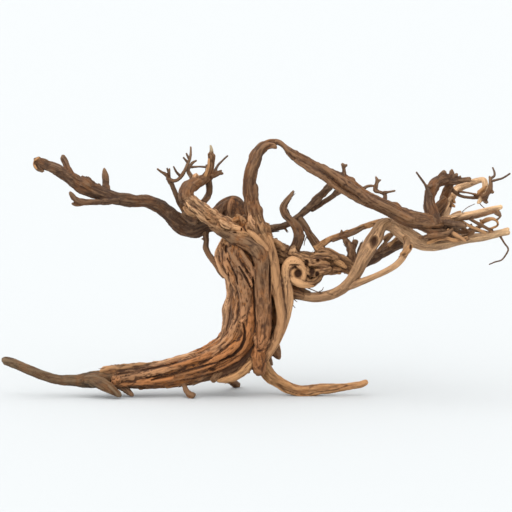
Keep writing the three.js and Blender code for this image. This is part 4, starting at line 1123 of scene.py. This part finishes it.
def wood_piece(name, lines, voxel, material):
    """A finished piece of the root: fused limbs with their grain, colour, bark and relief."""
    mesh = fused(name, lines, voxel)
    skin = Skin(mesh)
    skin.relax()
    samples = samples_of(lines)
    index = nearest_sample(skin.points, samples)
    finishes = [FINISHES[line.finish] for line in lines]
    bark = np.array([finish.bark for finish in finishes])[samples.limb[index]]
    bark = skin.smoothed(bark, BARK_ROUNDS)[:, 0]
    grain = grain_at(skin.points, samples, index)
    # How far into a crack or pit each point lies, which the material paints dark as painted shade.
    crack_shade = weathered(skin, samples, index, grain, bark)
    crack_shade = np.maximum(crack_shade, pitted(skin))
    normals = skin.normals()
    by_corner = corner_grain(skin, samples, index, grain)
    attribute(mesh, "grain", "FLOAT_VECTOR", by_corner / GRAIN_UNIT, "CORNER")
    attribute(mesh, "tone", "FLOAT_COLOR", tones(skin, finishes, samples, index))
    attribute(mesh, "bark", "FLOAT", bark)
    # The material paints shade where this relief is low and highlights where it is high.
    for label, (rounds, height) in RELIEFS.items():
        raised = ((skin.points - skin.smoothed(skin.points, rounds)) * normals).sum(1) / height
        attribute(mesh, label, "FLOAT", np.clip(raised, -1, 1))
    attribute(mesh, "crack_shade", "FLOAT", crack_shade)
    attribute(mesh, "grain_way", "FLOAT_VECTOR", samples.along[index])
    skin.points[:, 2] = np.maximum(skin.points[:, 2], 0)
    skin.write_points(MM)
    mesh.polygons.foreach_set("use_smooth", np.ones(len(mesh.polygons), bool))
    mesh.materials.clear()
    mesh.materials.append(material)
    return in_scene(name, mesh)


class Nodes:
    """Adds nodes to a tree and links them."""

    def __init__(self, tree):
        self.tree = tree

    def add(self, kind, inputs=None, **settings):
        node = self.tree.nodes.new(kind)
        for key, value in settings.items():
            setattr(node, key, value)
        for socket, value in (inputs or {}).items():
            if isinstance(value, bpy.types.NodeSocket):
                self.tree.links.new(value, node.inputs[socket])
            else:
                node.inputs[socket].default_value = value
        return node

    def made(self, kind, inputs=None, **settings):
        """The first output of a new node."""
        return self.add(kind, inputs, **settings).outputs[0]

    def math(self, operation, a, b=0.0):
        return self.made("ShaderNodeMath", {0: a, 1: b}, operation=operation)

    def times(self, a, b):
        return self.math("MULTIPLY", a, b)

    def plus(self, a, b):
        return self.math("ADD", a, b)

    def ramp(self, value, low, high, start=0.0, end=1.0):
        """A value from start to end as the input goes from low to high, eased at both."""
        inputs = {"Value": value, "From Min": low, "From Max": high, "To Min": start, "To Max": end}
        return self.made("ShaderNodeMapRange", inputs, interpolation_type="SMOOTHSTEP")

    def mix(self, share, a, b, blend="MIX"):
        """Sockets 6 and 7 of a Mix node are its two colours, and output 2 is the mixed one."""
        node = self.add("ShaderNodeMix", {0: share, 6: a, 7: b}, data_type="RGBA", blend_type=blend)
        return node.outputs[2]

    def tinted(self, colour, tint):
        return self.mix(1.0, colour, (*tint, 1), "MULTIPLY")

    def attribute(self, name, output):
        return self.add("ShaderNodeAttribute", attribute_name=name).outputs[output]

    def noise(self, vector, scale, detail=4, roughness=0.55, distortion=0.0):
        inputs = {"Vector": vector, "Scale": scale, "Detail": detail, "Roughness": roughness}
        inputs["Distortion"] = distortion
        return self.add("ShaderNodeTexNoise", inputs).outputs["Fac"]

    def drawn_out(self, stretch, offset, *settings):
        """Noise that is drawn out along the grain."""
        inputs = {"Vector": self.attribute("grain", "Vector"), "Location": offset, "Scale": (stretch, 1, 1)}
        return self.noise(self.made("ShaderNodeMapping", inputs), *settings)

    def place(self):
        return self.add("ShaderNodeTexCoord").outputs["Object"]

    def finish(self, inputs):
        """The material's shader and its output."""
        shader = self.made("ShaderNodeBsdfPrincipled", inputs)
        self.add("ShaderNodeOutputMaterial", {"Surface": shader}).is_active_output = True


def new_material(name):
    """A material with nothing in it, and the nodes to fill it with."""
    material = bpy.data.materials.new(name)
    material.use_nodes = True
    material.node_tree.nodes.clear()
    return material, Nodes(material.node_tree)


# The wood's own colours, the near black of its thin cracks and of painted shade in its grooves, cracks and
# pits, and how its tone is darkened or paled. Each ramp below names the noise values between which a colour
# fades in, and its share.
RUST = (0.32, 0.115, 0.025, 1)
OLD_BARK = (0.085, 0.052, 0.034, 1)
# Near black: painted shade in the grooves, cracks and pits, and the colour of the thin cracks drawn along the
# grain.
SHADE_AND_CRACK_COLOUR = (0.05, 0.0185, 0.0065, 1)
STRAW = (0.62, 0.45, 0.27, 1)
DARK_TINT = (0.4, 0.3, 0.22)
DEEP_TINT = (0.26, 0.19, 0.14)
PALE_TINT = (1.9, 1.85, 1.75)
WOOD_SHEEN = 0.32
WOOD_BUMP = 0.0022
MOST_ROUGH = 0.92
Patterns = namedtuple("Patterns", "fibres streaks split threads broad patches blotches chips calm")


def wood_patterns(n):
    """The noises behind the wood: five are drawn out along the grain, and the rest lie in patches."""
    place = n.place()
    return Patterns(
        fibres=n.drawn_out(0.12, (0, 0, 0), 3.4, 6, 0.7),
        streaks=n.drawn_out(0.055, (3, 1, 7), 1.9, 5, 0.6, 0.5),
        split=n.drawn_out(0.045, (11, 5, 2), 2.6, 4, 0.6, 0.3),
        threads=n.drawn_out(0.09, (7, 3, 9), 8, 3, 0.7),
        broad=n.drawn_out(0.13, (5, 9, 1), 1.15, 4, 0.55, 0.4),
        patches=n.noise(place, 13, 6, 0.62, 0.5),
        blotches=n.noise(place, 34, 5, 0.6, 0.3),
        chips=n.noise(place, 120, 5, 0.65, 0.4),
        calm=n.ramp(n.noise(place, 11, 3, 0.5), 0.42, 0.6, 1, 0.25),
    )


def streaked(n, w, tone, bark, relief):
    """The wood's tone with darker and paler fibres, chips, threads and broad bands along its grain."""
    dark_wood, deep_wood = n.tinted(tone, DARK_TINT), n.tinted(tone, DEEP_TINT)
    pale_wood = n.mix(0.1, n.tinted(tone, PALE_TINT), STRAW)
    figure = n.plus(n.times(w.fibres, 0.68), n.times(w.streaks, 0.32))
    colour = n.mix(n.times(n.ramp(figure, 0.5, 0.38), w.calm), tone, dark_wood)
    colour = n.mix(n.times(n.ramp(figure, 0.52, 0.64), w.calm), colour, pale_wood)
    colour = n.mix(n.times(n.ramp(w.chips, 0.6, 0.68), n.ramp(relief, -0.1, 0.4)), colour, pale_wood)
    colour = n.mix(n.ramp(w.threads, 0.47, 0.36, 0, 0.55), colour, dark_wood)
    colour = n.mix(n.ramp(w.threads, 0.54, 0.66, 0, 0.4), colour, pale_wood)
    colour = n.mix(n.ramp(w.broad, 0.55, 0.68, 0, 0.6), colour, pale_wood)
    deep_share = n.times(n.ramp(w.broad, 0.45, 0.34, 0, 0.65), n.ramp(bark, 0.05, 0.5, 0.3, 1))
    return n.mix(deep_share, colour, deep_wood), pale_wood


def barked(n, w, colour, bark, rust, old_bark):
    """Rust and old bark in patches, where bark is left."""
    rusty = n.times(n.ramp(n.plus(w.patches, n.times(w.streaks, 0.3)), 0.6, 0.78), rust)
    colour = n.mix(n.times(rusty, bark), colour, RUST)
    rind = n.ramp(n.plus(n.times(w.blotches, 0.7), n.times(w.patches, 0.5)), 0.6, 0.74)
    return n.mix(n.times(n.times(rind, bark), old_bark), colour, OLD_BARK)


def groove_shade_and_ridge_highlight(n, colour, relief, pale_wood):
    """Painted shade in the broad and fine grooves, and painted highlights on the ridges."""
    colour = n.mix(n.ramp(relief, -0.12, -0.85, 0, 0.88), colour, SHADE_AND_CRACK_COLOUR)
    colour = n.mix(n.ramp(n.attribute("fine_relief", "Fac"), -0.1, -0.9, 0, 0.7), colour, SHADE_AND_CRACK_COLOUR)
    return n.mix(n.ramp(relief, 0.12, 0.65, 0, 0.75), colour, pale_wood)


def wood_material(name, rust, old_bark, gloss):
    """Dry wood: streaked along its grain, rusty and barky in patches, with painted shade in its grooves and
    cracks and painted highlights on its ridges.
    """
    material, n = new_material(name)
    tone, bark = n.attribute("tone", "Color"), n.attribute("bark", "Fac")
    relief = n.attribute("relief", "Fac")
    w = wood_patterns(n)
    colour, pale_wood = streaked(n, w, tone, bark, relief)
    colour = groove_shade_and_ridge_highlight(n, barked(n, w, colour, bark, rust, old_bark), relief, pale_wood)
    line = n.math("ABSOLUTE", n.math("SUBTRACT", w.split, 0.5))
    cracked = n.times(n.ramp(line, 0.022, 0.004), n.ramp(w.streaks, 0.45, 0.6))
    colour = n.mix(n.times(cracked, n.plus(0.35, n.times(bark, 0.6))), colour, SHADE_AND_CRACK_COLOUR)
    # Painted shade in the cracks and pits.
    colour = n.mix(n.times(n.attribute("crack_shade", "Fac"), 0.8), colour, SHADE_AND_CRACK_COLOUR)
    height = n.plus(n.times(w.fibres, 0.6), n.times(cracked, -0.7))
    height = n.plus(height, n.times(n.times(w.blotches, bark), 0.8))
    n.finish({
        "Base Color": colour,
        "Roughness": n.ramp(w.fibres, 0.35, 0.7, gloss, MOST_ROUGH),
        "Normal": n.made("ShaderNodeBump", {"Strength": 0.7, "Distance": WOOD_BUMP, "Height": height}),
        "Specular IOR Level": WOOD_SHEEN,
    })
    return material


TWIG_TONE = (0.4, 0.31, 0.24)
TWIG_DARK_TINT = (0.45, 0.4, 0.36)
TWIG_PALE_TINT = (1.4, 1.3, 1.2)
TWIG_SHEEN = 0.3
TWIG_BUMP = 0.0008


def twig_material(name):
    """The skin of thin twigs and splinters: streaks, spots and a rough surface."""
    material, n = new_material(name)
    fibres = n.noise(n.place(), 420, 5, 0.6, 0.4)
    patches = n.noise(n.place(), 60, 4, 0.6)
    tone = n.attribute("tone", "Color")
    colour = n.mix(n.ramp(fibres, 0.4, 0.62), n.tinted(tone, TWIG_DARK_TINT), tone)
    colour = n.mix(n.ramp(patches, 0.5, 0.7, 0, 0.5), colour, n.tinted(tone, TWIG_PALE_TINT))
    n.finish({
        "Base Color": colour,
        "Roughness": n.ramp(fibres, 0.3, 0.7, 0.65, MOST_ROUGH),
        "Normal": n.made("ShaderNodeBump", {"Strength": 0.5, "Distance": TWIG_BUMP, "Height": fibres}),
        "Specular IOR Level": TWIG_SHEEN,
    })
    return material


def new_tree(name, inputs):
    """A geometry node tree with named inputs, given as (name, socket type, value)."""
    tree = bpy.data.node_groups.new(name, "GeometryNodeTree")
    tree.interface.new_socket("Geometry", in_out="INPUT", socket_type="NodeSocketGeometry")
    for label, kind, value in inputs:
        socket = tree.interface.new_socket(label, in_out="INPUT", socket_type=kind)
        if value is not None:
            socket.default_value = value
    tree.interface.new_socket("Geometry", in_out="OUTPUT", socket_type="NodeSocketGeometry")
    n = Nodes(tree)
    return n, n.add("NodeGroupInput").outputs


def end_tree(n, geometry, finish):
    """Ends a geometry node tree with real meshes in their finish."""
    real = n.made("GeometryNodeRealizeInstances", {"Geometry": geometry})
    finished = n.made("GeometryNodeSetMaterial", {"Geometry": real, "Material": finish})
    n.add("NodeGroupOutput", {"Geometry": finished})
    return n.tree


def swept(n, path, sides, scale):
    """A closed tube along a path, as wide at each point as the scale says."""
    profile = n.made("GeometryNodeCurvePrimitiveCircle", {"Resolution": sides, "Radius": 1.0})
    inputs = {"Curve": path, "Profile Curve": profile, "Scale": scale, "Fill Caps": True}
    return n.made("GeometryNodeCurveToMesh", inputs)


def moved(n, geometry, offset):
    return n.made("GeometryNodeSetPosition", {"Geometry": geometry, "Offset": offset})


# Thin twigs and splinters, in metres. A splinter's thickness and lift are shares of its length, and its
# two ends are where its taper runs out.
TWIG_RING_SPACING = 0.003
TWIG_SIDES = 9
TWIG_BUMPS = 0.0006
BUMPS_PER_METRE = 140.0
SPLINTERS_PER_SQUARE_METRE = 1500.0
SPLINTER_LENGTH = 0.02
SPLINTER_THICKNESS = 0.05
SPLINTER_LIFT = 0.12
SPLINTER_SIDES = 5
SPLINTER_POINTS = 6
SPLINTER_ROOT, SPLINTER_TIP = 0.12, 1.02
SHORTEST_SPLINTER = 0.35
BARKY = 0.3


def twig_tree():
    """Sweeps each path into a round twig of the path's own radius, with a bumpy skin."""
    n, given = new_tree("twig along a path", [
        ("Ring Spacing", "NodeSocketFloat", TWIG_RING_SPACING),
        ("Sides", "NodeSocketInt", TWIG_SIDES),
        ("Bumps", "NodeSocketFloat", TWIG_BUMPS),
        ("Finish", "NodeSocketMaterial", None),
    ])
    inputs = {"Curve": given["Geometry"], "Length": given["Ring Spacing"]}
    path = n.made("GeometryNodeResampleCurve", inputs, mode="LENGTH")
    twig = swept(n, path, given["Sides"], n.made("GeometryNodeInputRadius"))
    position = n.made("GeometryNodeInputPosition")
    inputs = {"Vector": position, "Scale": BUMPS_PER_METRE, "Detail": 3.0}
    lumps = n.add("ShaderNodeTexNoise", inputs).outputs["Fac"]
    height = n.times(n.times(n.math("SUBTRACT", lumps, 0.5), given["Bumps"]), 2.0)
    inputs = {0: n.made("GeometryNodeInputNormal"), "Scale": height}
    offset = n.made("ShaderNodeVectorMath", inputs, operation="SCALE")
    smooth = n.made("GeometryNodeSetShadeSmooth", {0: moved(n, twig, offset)})
    return end_tree(n, smooth, given["Finish"])


def splinter_shape(n, given):
    """One splinter, a unit long: it lifts at its far end and is thickest in its middle."""
    line = n.made("GeometryNodeCurvePrimitiveLine", {"Start": (-0.5, 0, 0), "End": (0.5, 0, 0)})
    points = n.made("GeometryNodeResampleCurve", {"Curve": line, "Count": SPLINTER_POINTS})
    share = n.add("GeometryNodeSplineParameter").outputs["Factor"]
    rise = n.times(n.times(share, share), given["Lift"])
    bent = moved(n, points, n.made("ShaderNodeCombineXYZ", {"Z": rise}))
    left = n.math("SUBTRACT", SPLINTER_TIP, share)
    taper = n.times(n.math("POWER", n.times(left, n.plus(share, SPLINTER_ROOT)), 0.5), 2.0)
    return swept(n, bent, SPLINTER_SIDES, n.times(taper, given["Thickness"]))


def splinter_tree():
    """Lays loose splinters along the grain of a surface, where it has bark."""
    n, given = new_tree("loose splinters", [
        ("Density", "NodeSocketFloat", SPLINTERS_PER_SQUARE_METRE),
        ("Length", "NodeSocketFloat", SPLINTER_LENGTH),
        ("Thickness", "NodeSocketFloat", SPLINTER_THICKNESS),
        ("Lift", "NodeSocketFloat", SPLINTER_LIFT),
        ("Seed", "NodeSocketInt", SEED),
        ("Finish", "NodeSocketMaterial", None),
    ])
    bark = n.made("GeometryNodeInputNamedAttribute", {"Name": "bark"}, data_type="FLOAT")
    way = n.made("GeometryNodeInputNamedAttribute", {"Name": "grain_way"}, data_type="FLOAT_VECTOR")
    inputs = {0: bark, 1: BARKY}
    barky = n.made("FunctionNodeCompare", inputs, data_type="FLOAT", operation="GREATER_THAN")
    inputs = {
        "Mesh": given["Geometry"], "Selection": barky, "Density": given["Density"], "Seed": given["Seed"],
    }
    scatter = n.add("GeometryNodeDistributePointsOnFaces", inputs, distribute_method="RANDOM").outputs
    turned = n.made("FunctionNodeAlignRotationToVector", {"Vector": way}, axis="X")
    inputs = {"Rotation": turned, "Vector": scatter["Normal"]}
    turned = n.made("FunctionNodeAlignRotationToVector", inputs, axis="Z", pivot_axis="X")
    inputs = {2: SHORTEST_SPLINTER, 3: 1.0, "Seed": given["Seed"]}
    size = n.add("FunctionNodeRandomValue", inputs, data_type="FLOAT").outputs[1]
    inputs = {
        "Points": scatter["Points"], "Instance": splinter_shape(n, given), "Rotation": turned,
        "Scale": n.times(size, given["Length"]),
    }
    return end_tree(n, n.made("GeometryNodeInstanceOnPoints", inputs), given["Finish"])


def grown(name, source, tree, finish):
    """What a node tree makes of a source object's geometry, as a plain mesh piece."""
    modifier = source.modifiers.new("grow", "NODES")
    modifier.node_group = tree
    modifier[tree.interface.items_tree["Finish"].identifier] = finish
    evaluated = source.evaluated_get(bpy.context.evaluated_depsgraph_get())
    mesh = bpy.data.meshes.new_from_object(evaluated)
    source.modifiers.remove(modifier)
    mesh.name = name
    for vertex in mesh.vertices:
        vertex.co.z = max(vertex.co.z, 0)
    return in_scene(name, mesh)


def path_curve(name, runs):
    """A curve object with one run of points for each twig, in metres."""
    curve = bpy.data.curves.new(name, "CURVE")
    curve.dimensions = "3D"
    for run in runs:
        dense = curve_through(run, TWIG_PER_SPAN)
        spline = curve.splines.new("POLY")
        spline.points.add(len(dense) - 1)
        for point, (x, y, z, radius) in zip(spline.points, dense):
            point.co = (x * MM, y * MM, z * MM, 1)
            point.radius = radius * MM
    return in_scene(name, curve)


def thin_twigs(finish):
    holder = path_curve("twig_paths", [placed(points) for points in THIN_TWIGS.values()])
    piece = grown("thin_twigs", holder, twig_tree(), finish)
    bpy.data.objects.remove(holder)
    tone = np.tile([*linear(TWIG_TONE), 1], (len(piece.data.vertices), 1))
    attribute(piece.data, "tone", "FLOAT_COLOR", tone)
    return piece


def finish_piece(piece):
    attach(piece, "root")
    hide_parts(WOOD_NODE)


FLOOR_REACH = 90
FLOOR_COLOUR = (0.5, 0.516, 0.52, 1)
FLOOR_ROUGHNESS = 0.9
SURROUND_COLOUR = (0.97, 0.985, 1, 1)
SURROUND_STRENGTH = 0.65
# Even lights: the place that each shines from, the angle in degrees that it is spread over, so that its
# shadows are soft, and its strength.
LIGHTS = {
    "key_light": ((-2.6, -2.4, 3.9), 105, 2.5),
    "fill_light": ((3.4, -3.2, 1.8), 90, 0.8),
    "top_light": ((0.2, 0.3, 4.2), 165, 1.7),
}
LIGHT_AIM = Vector((0, 0, 0.3))


def make_floor():
    corners = [(x * FLOOR_REACH, y * FLOOR_REACH, 0) for x, y in ((-1, -1), (1, -1), (1, 1), (-1, 1))]
    mesh = bpy.data.meshes.new("pale_floor")
    mesh.from_pydata(corners, [], [(0, 1, 2, 3)])
    material, n = new_material("pale_floor")
    n.finish({"Base Color": FLOOR_COLOUR, "Roughness": FLOOR_ROUGHNESS})
    mesh.materials.append(material)
    floor = in_scene("pale_floor", mesh)


def make_surround():
    world = bpy.data.worlds.new("pale_surround")
    world.use_nodes = True
    background = world.node_tree.nodes["Background"].inputs
    background["Color"].default_value = SURROUND_COLOUR
    background["Strength"].default_value = SURROUND_STRENGTH
    bpy.context.scene.world = world
    bpy.context.scene.view_settings.view_transform = "Standard"


def make_lights():
    for name, (place, spread, power) in LIGHTS.items():
        data = bpy.data.lights.new(name, "SUN")
        data.angle = math.radians(spread)
        data.energy = power
        light = in_scene(name, data)
        light.location = place
        light.rotation_euler = (LIGHT_AIM - light.location).to_track_quat("-Z", "Y").to_euler()


def lines_of(limbs):
    return [middle_line(finish, placed(points)) for finish, points in limbs]


make_floor()
make_surround()
make_lights()
trunk_wood = wood_material("red trunk wood", rust=0.9, old_bark=0.7, gloss=0.7)
peeled_wood = wood_material("peeled middle wood", rust=0.5, old_bark=0.6, gloss=0.62)
branch_wood = wood_material("weathered branch wood", rust=0.5, old_bark=0.8, gloss=0.66)
twig_wood = twig_material("twig skin")

# Each fused piece: its limbs, the fineness of its mesh in millimetres, and its material.
FUSED_PIECES = {
    "trunk": ([("umber", HEART), *TRUNK_LIMBS.values(), *trunk_strands()], 2.5, trunk_wood),
    "crown_and_roots": (CROWN_AND_ROOTS.values(), 2.1, trunk_wood),
    "arch": (ARCH.values(), 1.9, peeled_wood),
    "burl_and_middle_branches": (BURL_AND_MIDDLE.values(), 1.9, peeled_wood),
    "right_branches": (RIGHT_BRANCHES.values(), 1.65, branch_wood),
    "left_branches": (LEFT_BRANCHES.values(), 1.7, branch_wood),
}
SPLINTERED = ("trunk", "burl_and_middle_branches")

pieces = {
    name: wood_piece(name, lines_of(limbs), voxel, material)
    for name, (limbs, voxel, material) in FUSED_PIECES.items()
}
pieces["thin_twigs"] = thin_twigs(twig_wood)
splinters = splinter_tree()
for source in SPLINTERED:
    name = f"splinters_on_{source}"
    pieces[name] = grown(name, pieces[source], splinters, twig_wood)

for piece in pieces.values():
    finish_piece(piece)
    print(piece.name, "triangles", sum(len(face.vertices) - 2 for face in piece.data.polygons))
